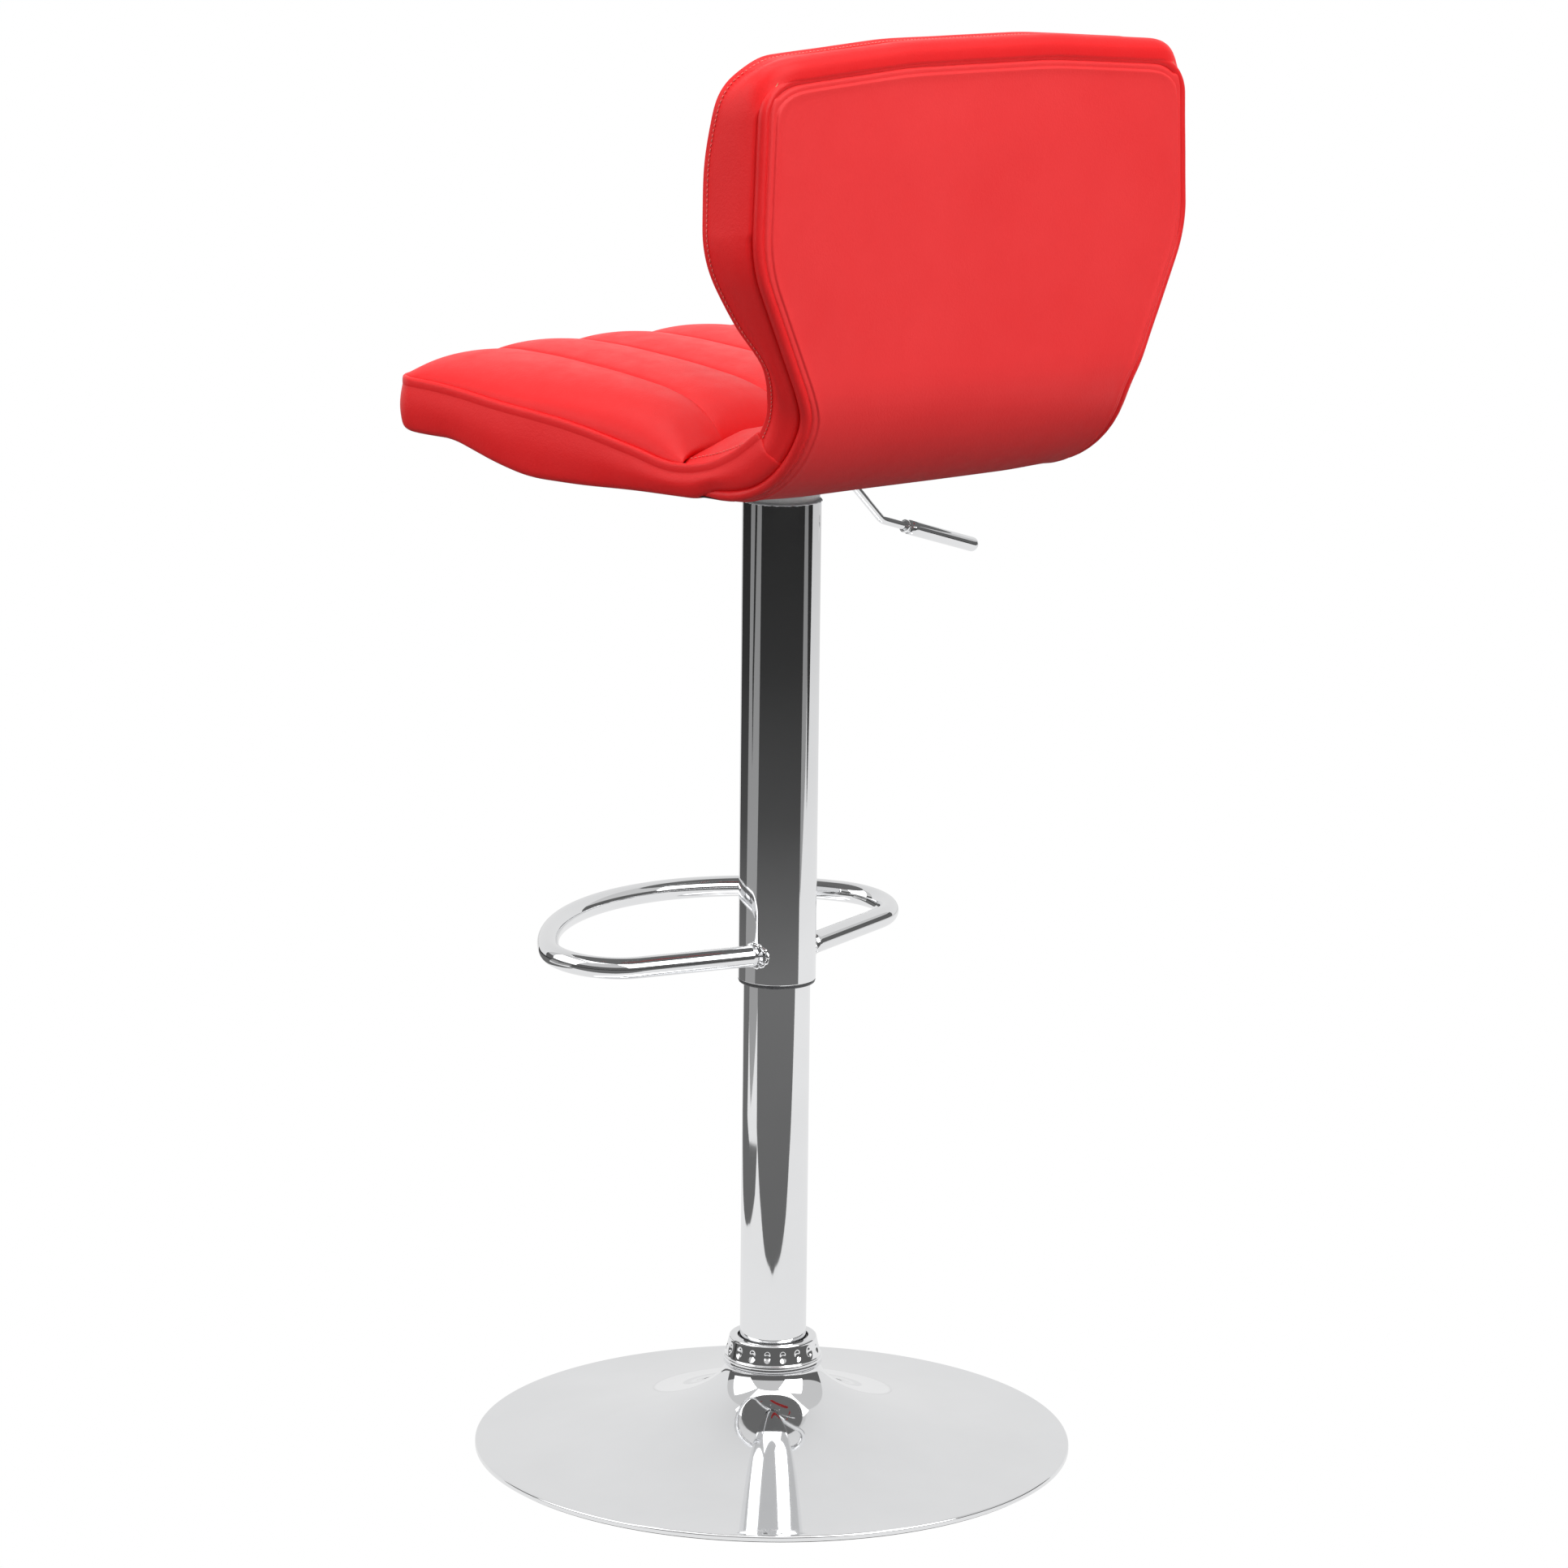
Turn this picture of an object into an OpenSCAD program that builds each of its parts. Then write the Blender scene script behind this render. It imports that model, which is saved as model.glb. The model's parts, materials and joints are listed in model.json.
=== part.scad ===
// Swivel stool with a back: a gas lift inside a two-part column, a footrest ring welded to
// the column's sleeve, and a round trumpet base.
// Millimetres. +Z is up, the origin is on the floor on the column's axis, the seat faces -Y
// and the back rest stands at +Y. The gas lift is drawn fully out, with the seat at its highest.

/* [Base] */
// Diameter of the base
base_d = 450; // [360:1:540]
// Height of the base cover's rim
rim_h = 5; // [4:0.5:8]
// Height of the base cover's neck above the floor
neck_h = 64.5; // [50:0.5:80]
// Reach of the neck beyond the lower tube
neck_over = 11; // [9:0.5:20]
// How sharply the cover sweeps up to the neck, from a cone to a horn
flare_power = 1.8; // [1.4:0.1:2.4]
// Thickness of the cover's sheet steel
cover_t = 1.2; // [0.8:0.1:2]
// Distance from the rim to the ballast plate, in hundredths of the base's diameter
ballast_margin = 13.5; // [12.5:0.1:20]
// Thickness of the ballast plate
ballast_t = 5; // [3:0.5:6]
// Width of the rubber ring on the floor
floor_ring_w = 5; // [4:0.5:8]

/* [Collar] */
// Reach of the collar's plain band beyond the lower tube
collar_over = 12.25; // [10:0.25:15]
// Reach of the collar's top edge beyond the lower tube
collar_top_over = 8; // [6:0.25:9]
// Height of the collar
collar_h = 21.5; // [16:0.5:30]
// Height of the plain band
collar_band_h = 6.3; // [4:0.1:9]
// Number of dimples round the collar
dimple_count = 18; // [12:1:24]

/* [Column] */
// Outer diameter of the fixed lower tube
tube_d = 50; // [44:0.5:60]
// Gap between the lower tube and the sleeve that slides over it
sleeve_gap = 2.5; // [2:0.1:4]
// Wall of the lower tube and of the sleeve
tube_wall = 1.5; // [1:0.1:2.5]
// Height of the sleeve's top with the lift fully out
column_top = 724; // [600:1:870]
// Length of the sleeve
sleeve_len = 361; // [300:1:420]
// Stroke of the gas lift
stroke = 210; // [175:1:252]
// Diameter of the gas cylinder
cylinder_d = 28; // [26:0.5:32]
// Diameter of the piston rod
rod_d = 10; // [8:0.5:12]

/* [Footrest] */
// Diameter of the footrest's tube
foot_tube_d = 16; // [12:0.5:20]
// Width over the footrest ring
foot_w = 330; // [275:1:396]
// Reach of the ring in front of the column's axis
foot_reach = 173; // [145:1:207]
// Radius of the ring's side bends, on the tube's centre line
foot_bend_r = 45.5; // [36:0.5:54]
// Forward sweep of the ring's two arms
foot_sweep = 14; // [8:1:20]
// Upward tilt of the ring towards its front
foot_tilt = 3.9; // [0:0.1:6]
// Height of the ring's arms above the sleeve's lower end
foot_rise = 22.5; // [14:0.5:40]

/* [Seat] */
// Width of the seat at its front
seat_w = 396; // [330:1:475]
// Distance from the column's axis to the seat's front
seat_front = 213; // [177:1:224]
// Distance from the column's axis to the rear face
seat_back = 200; // [185:1:224]
// Width where the seat meets the back
waist_w = 328; // [290:1:360]
// Width of the back at its widest
back_w = 432; // [370:1:450]
// Height of the back's top corners above the seat's underside
back_h = 313; // [262:1:375]
// Rise of the back's top edge at its middle
back_crown = 9; // [4:0.5:16]
// Height of the waist's upper end above the seat's underside
waist_h = 52; // [44:1:60]
// Height of the back's widest line above the seat's underside
shoulder_h = 174; // [150:1:190]
// Radius of the bend between the seat and the back
bend_r = 90; // [76:1:100]
// Rise of the seat's front edge above its flat underside
nose_rise = 20; // [12:1:28]
// Thickness of the bent plywood
shell_t = 12; // [9:0.5:15]
// Thickness of the upholstery vinyl with its backing
skin_t = 2; // [1.5:0.1:2.5]
// Height of the seat cushion's front edge above the seat's underside
seat_pad_h = 76; // [64:1:91]
// Height of the seat cushion's rear edge above the seat's underside
crease_h = 36; // [30:1:43]
// Height of the seat cushion just in front of its rear edge
pad_rear_h = 61; // [51:1:70]
// Depth of the back cushion's front face in front of the rear face
back_pad_d = 70; // [58:1:84]
// Height of the hollow between the seat and the back
lumbar_h = 96; // [80:1:110]
// Diameter of the piping round the rear cover
piping_d = 8; // [6:0.5:9]

/* [Mechanism] */
// Width of the seat plate
plate_w = 144; // [120:1:172]
// Depth of the seat plate
plate_d = 110; // [92:1:116]
// Thickness of the seat plate
plate_t = 2.5; // [2:0.1:4]
// Spacing of the seat bolts across the stool
bolt_pitch_x = 114; // [95:1:118]
// Spacing of the seat bolts from front to back
bolt_pitch_y = 78; // [65:1:80]
// Diameter of the seat bolts
bolt_d = 6; // [5:0.5:8]
// Height of the hub between the sleeve and the seat plate
hub_h = 25.5; // [24:0.5:30]
// Diameter of the lever's rod
lever_d = 6; // [5:0.5:7]
// Diameter of the lever's grip
grip_d = 11; // [9:0.5:13]
// Length of the lever's grip
grip_len = 80; // [66:1:96]
// Distance from the column's axis to the lever's tip
lever_reach = 202; // [180:1:242]
// Distance from the hub to the lever's pivot
pivot_out = 7; // [6:0.5:9]

/* [Hidden] */

$fn = 96;
// Clearances: a running fit, and a gap between pieces that only lie next to each other
run = 0.06;
gap = 0.3;
// Length that a cutting shape reaches past what it cuts
over = 1;

// Base
base_r = base_d / 2;
neck_r = tube_d / 2 + neck_over;
cover_bottom = 1;
lip_t = 1.6;
lip_r = 1.5;
neck_flange_gap = 5;
neck_flange_r = tube_d / 2 + neck_flange_gap;
ballast_z = 2;
ballast_r = base_r - ballast_margin * base_d / 100;
ballast_bore_r = 14;
floor_ring_r = base_r - lip_t - gap;
floor_ring_h = rim_h - cover_t - gap / 2;
socket_wall = 3.5;
socket_floor_t = 5;
socket_z = ballast_z + ballast_t;
socket_r = tube_d / 2 + socket_wall;
socket_drop = 4;
socket_top = neck_h - cover_t - socket_drop;
flange_w = 19.5;
flange_r = socket_r + flange_w;
flange_t = 2;
flare_steps = 28;

// Bearing and rod at the bottom of the column
rod_r = rod_d / 2;
rod_neck_r = rod_r - 1;
race_r = 13;
race_t = 2;
ball_r = 2;
ball_count = 10;
ball_track_r = 9.5;
race_z = socket_z + socket_floor_t;
ball_z = race_z + race_t + ball_r;
upper_race_z = ball_z + ball_r;
shoulder_z = upper_race_z + race_t;
cage_t = 1.6;
washer_t = 1.5;
washer_r = 9;
clip_t = 1.2;
clip_r = 8;
clip_groove = 0.8;
clip_z = socket_z - washer_t - gap - clip_t;
rod_tip = 1.5;
rod_end = clip_z - rod_tip;
bump_h = 14;
bump_r = 12;

// Collar
collar_z = neck_h;
collar_top = collar_z + collar_h;
collar_r = tube_d / 2 + collar_over;
collar_top_r = tube_d / 2 + collar_top_over;
collar_t = 2.2;
collar_bore_gap = 1.6;
collar_bore_r = tube_d / 2 + collar_bore_gap;
collar_lip_h = 2;
grommet_h = 5;
grommet_drop = 2.4;
dimple_w = 6.2;
dimple_h = 8.4;
dimple_depth = 0.9;

// Column
tube_r = tube_d / 2;
tube_in_r = tube_r - tube_wall;
sleeve_in_r = tube_r + sleeve_gap;
sleeve_r = sleeve_in_r + tube_wall;
sleeve_bottom = column_top - sleeve_len;
tube_clear = 32;
tube_top = column_top - stroke - tube_clear;
tube_bottom = race_z;
bush_lip_h = 3;
bush_len = 40;
lower_bush_len = 30;
lower_bush_drop = 150;
ring_lip_h = 2.6;
ring_taper = 0.6;
ring_spigot_h = 14;
cap_h = 8;
foot_arm_y = 13.4;
weld_w = 2.5;

// Gas spring
cylinder_r = cylinder_d / 2;
cylinder_wall = 1.6;
cylinder_in_r = cylinder_r - cylinder_wall;
cylinder_rise = 11;
cylinder_top = column_top + cylinder_rise;
bump_gap = 3;
cylinder_bottom = shoulder_z + bump_h + stroke + bump_gap;
cylinder_head = 40;
taper_h = 36;
taper_in = 0.9;
taper_r = cylinder_r - taper_in;
gland_h = 16;
piston_h = 14;
valve_r = 2.5;
valve_up = 4.6;
valve_len = 24;

// Hub, plate and bolts
hub_t = 2;
hub_flare = 4;
hub_top_r = sleeve_r + hub_flare;
pivot_x = hub_top_r + pivot_out;
hub_socket_t = 4;
hub_socket_h = 26;
plate_z = column_top + hub_h;
plate_top = plate_z + plate_t;
plate_corner_r = 10;
plate_hole_r = hub_top_r - hub_t;
bolt_r = bolt_d / 2;
bolt_head_r = bolt_d * 0.83;
bolt_head_h = bolt_d * 0.6;
bolt_washer_t = 1.2;
nut_recess = 2;
bolt_len = shell_t - nut_recess;
nut_wall = 1.2;
nut_barrel_r = bolt_r + nut_wall;
nut_flange_r = bolt_d * 1.6;
nut_flange_t = 1.4;

// Lever, drawn in the XZ plane
lever_r = lever_d / 2;
grip_r = grip_d / 2;
block_r = 3.8;
block_out = 9;
block_socket = 4;
valve_top = cylinder_top + valve_up;
lever_z = valve_top + block_r + run;
lever_slope = 44;
grip_slope = 16.4;
lever_bend_r = 14;
lever_in = 6;
knee_out = 15;
lever_knee = pivot_x + knee_out;
knee_bend_r = 12;
elbow_out = 47.5;
elbow_x = lever_knee + elbow_out;
elbow_z = lever_z - (elbow_x - lever_knee) * tan(lever_slope);
pin_r = 2;
eye_r = 4.6;
eye_w = 7;
ear_t = 2;
ear_gap = 0.4;
pin_head_r = 3.4;
pin_head_t = 1;
slot_w = 12;
ear_w = 11;
grip_tip_r = 4.5;
grip_step = 5;
grip_neck = 1;
grip_bore_start = 12;
grip_cap = 13;

// Upholstery. Outlines are lists of [across, along, corner radius].
underside_z = plate_top - skin_t;
pad_d0 = skin_t + shell_t + gap;
pan_front = 62;
nose_start = 142;
nose_bend_r = 110;
shell_setback = 8;
seat_corner_r = 30;
seat_straight = 120;
waist_y = 108;
waist_blend_r = 160;
waist_rise = 12;
waist_r = 40;
shoulder_r = 90;
back_taper = 6;
back_corner_r = 42;
crown_r = 3000;
welt_r = piping_d / 2;
welt_in = welt_r + run;
shell_in = piping_d + 2 * gap;
band_t = 2;
pad_in = band_t + gap;
split_z = underside_z + waist_h;
crease_y = 58;
crease_r = 4;
pad_drop_y = 22;
pad_drop_r = 40;
pad_nose_r = 26;
heel_y = 140;
heel_rise = 20;
heel_r = 25;
lumbar_in = 26;
lumbar_r = 40;
chest_h = 180;
chest_r = 150;
band_front = 52;
seam_front_h = 59;
seam_dip_h = 23;
seam_dip_y = 75;
seam_rear_h = 63;
seam_rear_y = 160;
seam_bend = 110;
seam_fall = 6;
seam_bend_r = 150;
seam_dip_r = 60;
dust_t = 1;
dust_in = band_t + gap;
dust_rear = 112;
dust_gap = 3;
cover_start = 116;
arc_steps = 10;
space_margin = 60;
wide = 2 * seat_w;

// Side view of the underside and rear face: [y, z, corner radius]
profile = [
    [-seat_front + shell_setback, underside_z + nose_rise, 0],
    [-nose_start, underside_z + nose_rise, nose_bend_r],
    [-pan_front, underside_z, nose_bend_r],
    [seat_back, underside_z, bend_r],
    [seat_back, underside_z + back_h + back_crown, 0]
];

// Half outline of the seat from above: [x, y, corner radius]
plan_half = [
    [seat_w / 2, -seat_front, seat_corner_r],
    [seat_w / 2, -seat_front + seat_straight, waist_blend_r],
    [waist_w / 2, waist_y, waist_blend_r],
    [waist_w / 2, seat_back + over, 0]
];

// Half outline of the back from the front: [x, z, corner radius]
back_half = [
    [waist_w / 2, underside_z - nose_rise, 0],
    [waist_w / 2, split_z + waist_rise, waist_r],
    [back_w / 2, underside_z + shoulder_h, shoulder_r],
    [back_w / 2 - back_taper, underside_z + back_h, back_corner_r],
    [0, underside_z + back_h + back_crown, crown_r]
];

// Footrest ring, in its own plane: x across, y along, before it tilts
foot_r = foot_tube_d / 2;
foot_z = sleeve_bottom + foot_rise;
foot_x = foot_w / 2 - foot_r - foot_bend_r;
foot_y = foot_arm_y - foot_x * tan(foot_sweep) - foot_bend_r / cos(foot_sweep);
foot_depth = foot_y + foot_reach - foot_r;
foot_front_r = (foot_x ^ 2 + foot_depth ^ 2 - foot_bend_r ^ 2) / (2 * (foot_depth - foot_bend_r));
foot_front_y = foot_front_r - foot_reach + foot_r;
foot_turn = atan2(foot_y - foot_front_y, foot_x);
foot_start = sleeve_r / 2;

// Right half of the ring's centre line, from an arm's start to the middle of the front
foot_half = concat(
    [[foot_start, foot_arm_y - foot_start * tan(foot_sweep)]],
    [for (k = [0:arc_steps])
        let(a = 90 - foot_sweep + (foot_turn - 90 + foot_sweep) * k / arc_steps)
        [foot_x, foot_y] + foot_bend_r * [cos(a), sin(a)]],
    [for (k = [1:arc_steps])
        let(a = foot_turn - (foot_turn + 90) * k / arc_steps)
        [0, foot_front_y] + foot_front_r * [cos(a), sin(a)]]
);
foot_line = concat(
    foot_half,
    [for (k = [len(foot_half) - 2:-1:0]) [-foot_half[k].x, foot_half[k].y]]
);

// Centre line of the lever's rod: [x, z, bend radius]
lever_line = [
    [-pivot_x - block_out + block_socket, lever_z, 0],
    [-lever_knee, lever_z, knee_bend_r],
    [-elbow_x, elbow_z, lever_bend_r],
    [-lever_reach + grip_cap, elbow_z - (lever_reach - grip_cap - elbow_x) * tan(grip_slope), 0]
];

function unit(v) = v / norm(v);
function flat(v) = [v.x, v.y];
function left_normal(a, b) = let(u = unit(b - a)) [-u.y, u.x];
function turned(v, a) = [v.x * cos(a) - v.y * sin(a), v.x * sin(a) + v.y * cos(a)];
function reversed(p) = [for (i = [len(p) - 1:-1:0]) p[i]];

// Corner b between a and c, rounded with radius r
function corner(a, b, c, r) = r <= 0 ? [b] :
    let(
        u = unit(a - b),
        v = unit(c - b),
        half = acos(max(-1, min(1, u * v))) / 2,
        centre = b + unit(u + v) * r / sin(half),
        first = b + u * r / tan(half) - centre,
        sweep = (180 - 2 * half) * (cross(b - a, c - b) > 0 ? 1 : -1)
    )
    [for (k = [0:arc_steps]) centre + turned(first, sweep * k / arc_steps)];

// Open line through the points, with its inner corners rounded
function rounded(p) = [
    for (i = [0:len(p) - 1])
    for (q = i == 0 || i == len(p) - 1 ? [flat(p[i])] :
            corner(flat(p[i - 1]), flat(p[i]), flat(p[i + 1]), p[i].z))
    q
];

// The same line moved to its left by d; its radii follow
function moved(p, d) = [
    for (i = [0:len(p) - 1])
    let(
        here = flat(p[i]),
        n0 = i > 0 ? left_normal(flat(p[i - 1]), here) : left_normal(here, flat(p[i + 1])),
        n1 = i < len(p) - 1 ? left_normal(here, flat(p[i + 1])) : n0,
        m = unit(n0 + n1),
        q = here + m * d / (m * n0),
        side = i > 0 && i < len(p) - 1 ?
            sign(cross(here - flat(p[i - 1]), flat(p[i + 1]) - here)) : 0
    )
    [q.x, q.y, p[i].z > 0 ? max(p[i].z - side * d, 1) : 0]
];

// The underside and rear face, d inside the skin, from the seat's front to the back's top
function face_line(d) = rounded(moved(profile, d));

// Whole outlines from their right halves, inset by i
function mirrored(p) = [for (q = reversed(p)) if (q.x > 0) [-q.x, q.y, q.z]];
function plan_outline(i) = rounded(moved(concat(mirrored(plan_half), plan_half), i));
function back_outline(i) = rounded(moved(concat(back_half, mirrored(back_half)), i));

// Points and faces of a round rod along a line of 3-D points
function tangents(p) = [
    for (i = [0:len(p) - 1]) unit(p[min(i + 1, len(p) - 1)] - p[max(i - 1, 0)])
];
function normals(t, n, i = 0) = i == len(t) ? [] :
    let(m = unit(n - t[i] * (n * t[i]))) concat([m], normals(t, m, i + 1));

module rod_along(p, r, first_normal, sides = 8) {
    t = tangents(p);
    n = normals(t, first_normal);
    last = len(p) - 1;
    points = [
        for (i = [0:last])
        for (k = [0:sides - 1])
        p[i] + r * (n[i] * cos(360 * k / sides) + cross(t[i], n[i]) * sin(360 * k / sides))
    ];
    quads = [
        for (i = [0:last - 1])
        for (k = [0:sides - 1])
        [i * sides + k, i * sides + (k + 1) % sides,
            (i + 1) * sides + (k + 1) % sides, (i + 1) * sides + k]
    ];
    start_cap = [for (k = [sides - 1:-1:0]) k];
    end_cap = [for (k = [0:sides - 1]) last * sides + k];
    polyhedron(points, [for (f = concat([start_cap], quads, [end_cap])) reversed(f)]);
}

module tube(r_out, r_in, h) {
    difference() {
        cylinder(h = h, r = r_out);
        translate([0, 0, -over]) cylinder(h = h + 2 * over, r = r_in);
    }
}

module ring_at(z, r_out, r_in, h) {
    translate([0, 0, z]) tube(r_out, r_in, h);
}

// A side-view shape in [y, z], extruded across the stool
module across() {
    translate([-wide / 2, 0, 0])
        rotate([90, 0, 90])
        linear_extrude(wide)
        children();
}

// Space inside the seat's outline, inset by i
module seat_space(i) {
    translate([0, 0, underside_z - space_margin])
        linear_extrude(2 * space_margin + shell_t + back_h)
        polygon(plan_outline(i));
}

// Space inside the back's outline, inset by i, above the waist, and the seat's below it
module back_space(i) {
    intersection() {
        seat_space(i);
        translate([-wide / 2, -wide / 2, underside_z - space_margin])
            cube([wide, wide, space_margin + waist_h]);
    }
    intersection() {
        translate([0, wide / 2, 0])
            rotate([90, 0, 0])
            linear_extrude(wide)
            polygon(back_outline(i));
        translate([-wide / 2, -wide / 2, split_z]) cube([wide, wide, 2 * back_h]);
    }
}

// Slice of the seat and back between two depths inside the skin
module face_slice(d0, d1) {
    polygon(concat(face_line(d0), reversed(face_line(d1))));
}

module at_bolts() {
    for (x = [-1, 1], y = [-1, 1])
        translate([x * bolt_pitch_x / 2, y * bolt_pitch_y / 2, 0])
        children();
}

// Height of the base cover's top side at radius r
function flare_z(r) =
    let(u = (base_r - r) / (base_r - neck_r))
    rim_h + (neck_h - rim_h) * (1 - pow(1 - pow(u, flare_power), 1 / flare_power));

module floor_ring() {
    color("#202020") ring_at(0, floor_ring_r, floor_ring_r - floor_ring_w, floor_ring_h);
}

module ballast_plate() {
    color("#5a5a5c") ring_at(ballast_z, ballast_r, ballast_bore_r, ballast_t);
}

// Steps are even in angle, so that they crowd towards the neck
function flare_line(t) = [
    for (k = [0:flare_steps])
    let(r = base_r - lip_r - (base_r - lip_r - neck_r) * sin(90 * k / flare_steps))
    [r - t * (1 - cos(90 * k / flare_steps)), flare_z(r) - t * cos(90 * k / flare_steps)]
];

module base_cover() {
    top = flare_line(0);
    under = flare_line(cover_t);
    rim = [
        [base_r - lip_t, rim_h - cover_t],
        [base_r - lip_t, cover_bottom],
        [base_r, cover_bottom],
        [base_r, rim_h - lip_r],
        [base_r - lip_r * (1 - cos(45)), rim_h - lip_r * (1 - sin(45))]
    ];
    color("silver")
        rotate_extrude()
        polygon(concat(
            rim, top,
            [
                [neck_flange_r, neck_h],
                [neck_flange_r, neck_h - cover_t],
                [neck_r - cover_t, neck_h - cover_t]
            ],
            reversed([
                for (p = under)
                if (p.x < base_r - lip_t - over && p.y < neck_h - 2 * cover_t)
                p
            ])
        ));
}

module base_socket() {
    color("#6b6b6e") difference() {
        union() {
            translate([0, 0, socket_z]) cylinder(h = socket_top - socket_z, r = socket_r);
            translate([0, 0, socket_z]) cylinder(h = flange_t, r = flange_r);
        }
        translate([0, 0, race_z]) cylinder(h = socket_top, r = tube_r + run);
        translate([0, 0, socket_z - over])
            cylinder(h = socket_floor_t + 2 * over, r = rod_neck_r + run);
    }
}

module rod_washer() {
    color("silver") ring_at(socket_z - washer_t, washer_r, rod_neck_r + run, washer_t);
}

// Stadium-shaped pocket, tall in x, standing on the XY plane
module pocket(long, wide_d, h) {
    linear_extrude(h) {
        square([long - wide_d, wide_d], center = true);
        for (s = [-1, 1])
            translate([s * (long - wide_d) / 2, 0]) circle(d = wide_d);
    }
}

module collar() {
    cone_h = collar_h - collar_band_h - collar_lip_h;
    lean = atan((collar_r - collar_top_r) / cone_h);
    color("silver") difference() {
        translate([0, 0, collar_z])
            rotate_extrude()
            polygon([
                [collar_r - collar_t, 0],
                [collar_r, 0],
                [collar_r, collar_band_h],
                [collar_top_r, collar_h - collar_lip_h],
                [collar_top_r - collar_lip_h, collar_h],
                [collar_bore_r, collar_h],
                [collar_bore_r, collar_h - collar_lip_h],
                [collar_top_r - collar_t, collar_h - collar_lip_h],
                [collar_r - collar_t, collar_band_h]
            ]);
        for (k = [0:dimple_count - 1])
            rotate([0, 0, 360 * k / dimple_count])
            translate([(collar_r + collar_top_r) / 2, 0, collar_z + collar_band_h + cone_h / 2])
            rotate([0, 90 - lean, 0])
            translate([0, 0, -dimple_depth])
            pocket(dimple_h, dimple_w, collar_t);
    }
}

module collar_grommet() {
    color("#181818")
        ring_at(collar_top - grommet_drop - grommet_h, collar_bore_r - run, tube_r + run, grommet_h);
}

module lower_tube() {
    color("silver") ring_at(tube_bottom, tube_r, tube_in_r, tube_top - tube_bottom);
}

module tube_top_bush() {
    color("#d8d8d2") difference() {
        union() {
            translate([0, 0, tube_top - bush_len]) cylinder(h = bush_len, r = tube_in_r - run);
            translate([0, 0, tube_top]) cylinder(h = bush_lip_h, r = sleeve_in_r - run);
        }
        translate([0, 0, tube_top - bush_len - over])
            cylinder(h = bush_len + bush_lip_h + 2 * over, r = cylinder_r + run);
    }
}

module tube_lower_bush() {
    color("#d8d8d2")
        ring_at(
            tube_top - lower_bush_drop - lower_bush_len,
            tube_in_r - run,
            cylinder_r + run,
            lower_bush_len
        );
}

module bearing_lower_race() {
    color("#9a9a9e") ring_at(race_z, race_r, rod_neck_r + run, race_t);
}

module bearing_cage() {
    color("#c9b26a") difference() {
        translate([0, 0, ball_z - cage_t / 2]) tube(race_r - gap, rod_neck_r + gap, cage_t);
        for (k = [0:ball_count - 1])
            rotate([0, 0, 360 * k / ball_count])
            translate([ball_track_r, 0, ball_z - cage_t])
            cylinder(h = 2 * cage_t, r = ball_r + run);
    }
}

module bearing_balls() {
    color("#b8b8bc")
        for (k = [0:ball_count - 1])
            rotate([0, 0, 360 * k / ball_count])
            translate([ball_track_r, 0, ball_z])
            sphere(r = ball_r - run / 2);
}

module bearing_upper_race() {
    color("#9a9a9e") ring_at(upper_race_z, race_r, rod_neck_r + run, race_t);
}

module piston_rod() {
    color("silver") difference() {
        union() {
            translate([0, 0, rod_end]) cylinder(h = shoulder_z - rod_end, r = rod_neck_r);
            translate([0, 0, shoulder_z])
                cylinder(h = cylinder_bottom + gland_h + piston_h - shoulder_z, r = rod_r);
        }
        translate([0, 0, clip_z - run]) tube(rod_r, rod_neck_r - clip_groove, clip_t + 2 * run);
    }
}

module piston() {
    color("#3a3a3c")
        ring_at(cylinder_bottom + gland_h + gap, cylinder_in_r - run, rod_r + run / 2, piston_h - gap);
}

module rod_clip() {
    color("#4a4a4e") difference() {
        ring_at(clip_z, clip_r, rod_neck_r - clip_groove + run, clip_t);
        translate([0, -rod_neck_r, clip_z - over]) cube([2 * clip_r, 2 * rod_neck_r, clip_t + 2 * over]);
    }
}

module bump_stop() {
    color("#1c1c1c") ring_at(shoulder_z, bump_r, rod_r + run, bump_h);
}

module gas_cylinder() {
    color("#2b2b2d") difference() {
        union() {
            translate([0, 0, cylinder_bottom])
                cylinder(h = cylinder_top - taper_h - cylinder_bottom, r = cylinder_r);
            translate([0, 0, cylinder_top - taper_h]) cylinder(h = taper_h, r1 = cylinder_r, r2 = taper_r);
        }
        translate([0, 0, cylinder_bottom - over])
            cylinder(h = cylinder_top - cylinder_head - cylinder_bottom + over, r = cylinder_in_r);
        translate([0, 0, cylinder_top - cylinder_head - 2 * over])
            cylinder(h = cylinder_head + 4 * over, r = valve_r + run);
    }
}

module rod_gland() {
    color("#101010") ring_at(cylinder_bottom, cylinder_in_r - run, rod_r + run, gland_h);
}

module valve_pin() {
    color("silver")
        translate([0, 0, cylinder_top + valve_up - valve_len]) cylinder(h = valve_len, r = valve_r);
}

module sleeve() {
    color("silver") ring_at(sleeve_bottom, sleeve_r, sleeve_in_r, sleeve_len);
}

module sleeve_bottom_ring() {
    color("#3b3b3d") difference() {
        union() {
            translate([0, 0, sleeve_bottom - ring_lip_h])
                cylinder(h = ring_lip_h, r1 = sleeve_r - ring_taper, r2 = sleeve_r);
            translate([0, 0, sleeve_bottom]) cylinder(h = ring_spigot_h, r = sleeve_in_r - run);
        }
        translate([0, 0, sleeve_bottom - ring_lip_h - over])
            cylinder(h = ring_lip_h + ring_spigot_h + 2 * over, r = tube_r + run);
    }
}

module sleeve_top_cap() {
    color("#a8a8aa")
        ring_at(column_top - cap_h, sleeve_in_r - run, cylinder_r + hub_socket_t + run, cap_h);
}

// One arm from the column's axis outwards, on the side s
module foot_arm(s, r, from, to) {
    translate([0, foot_arm_y, 0])
        rotate([0, 0, s > 0 ? -foot_sweep : 180 + foot_sweep])
        rotate([0, 90, 0])
        translate([0, 0, from])
        cylinder(h = to - from, r = r, $fn = 48);
}

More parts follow.
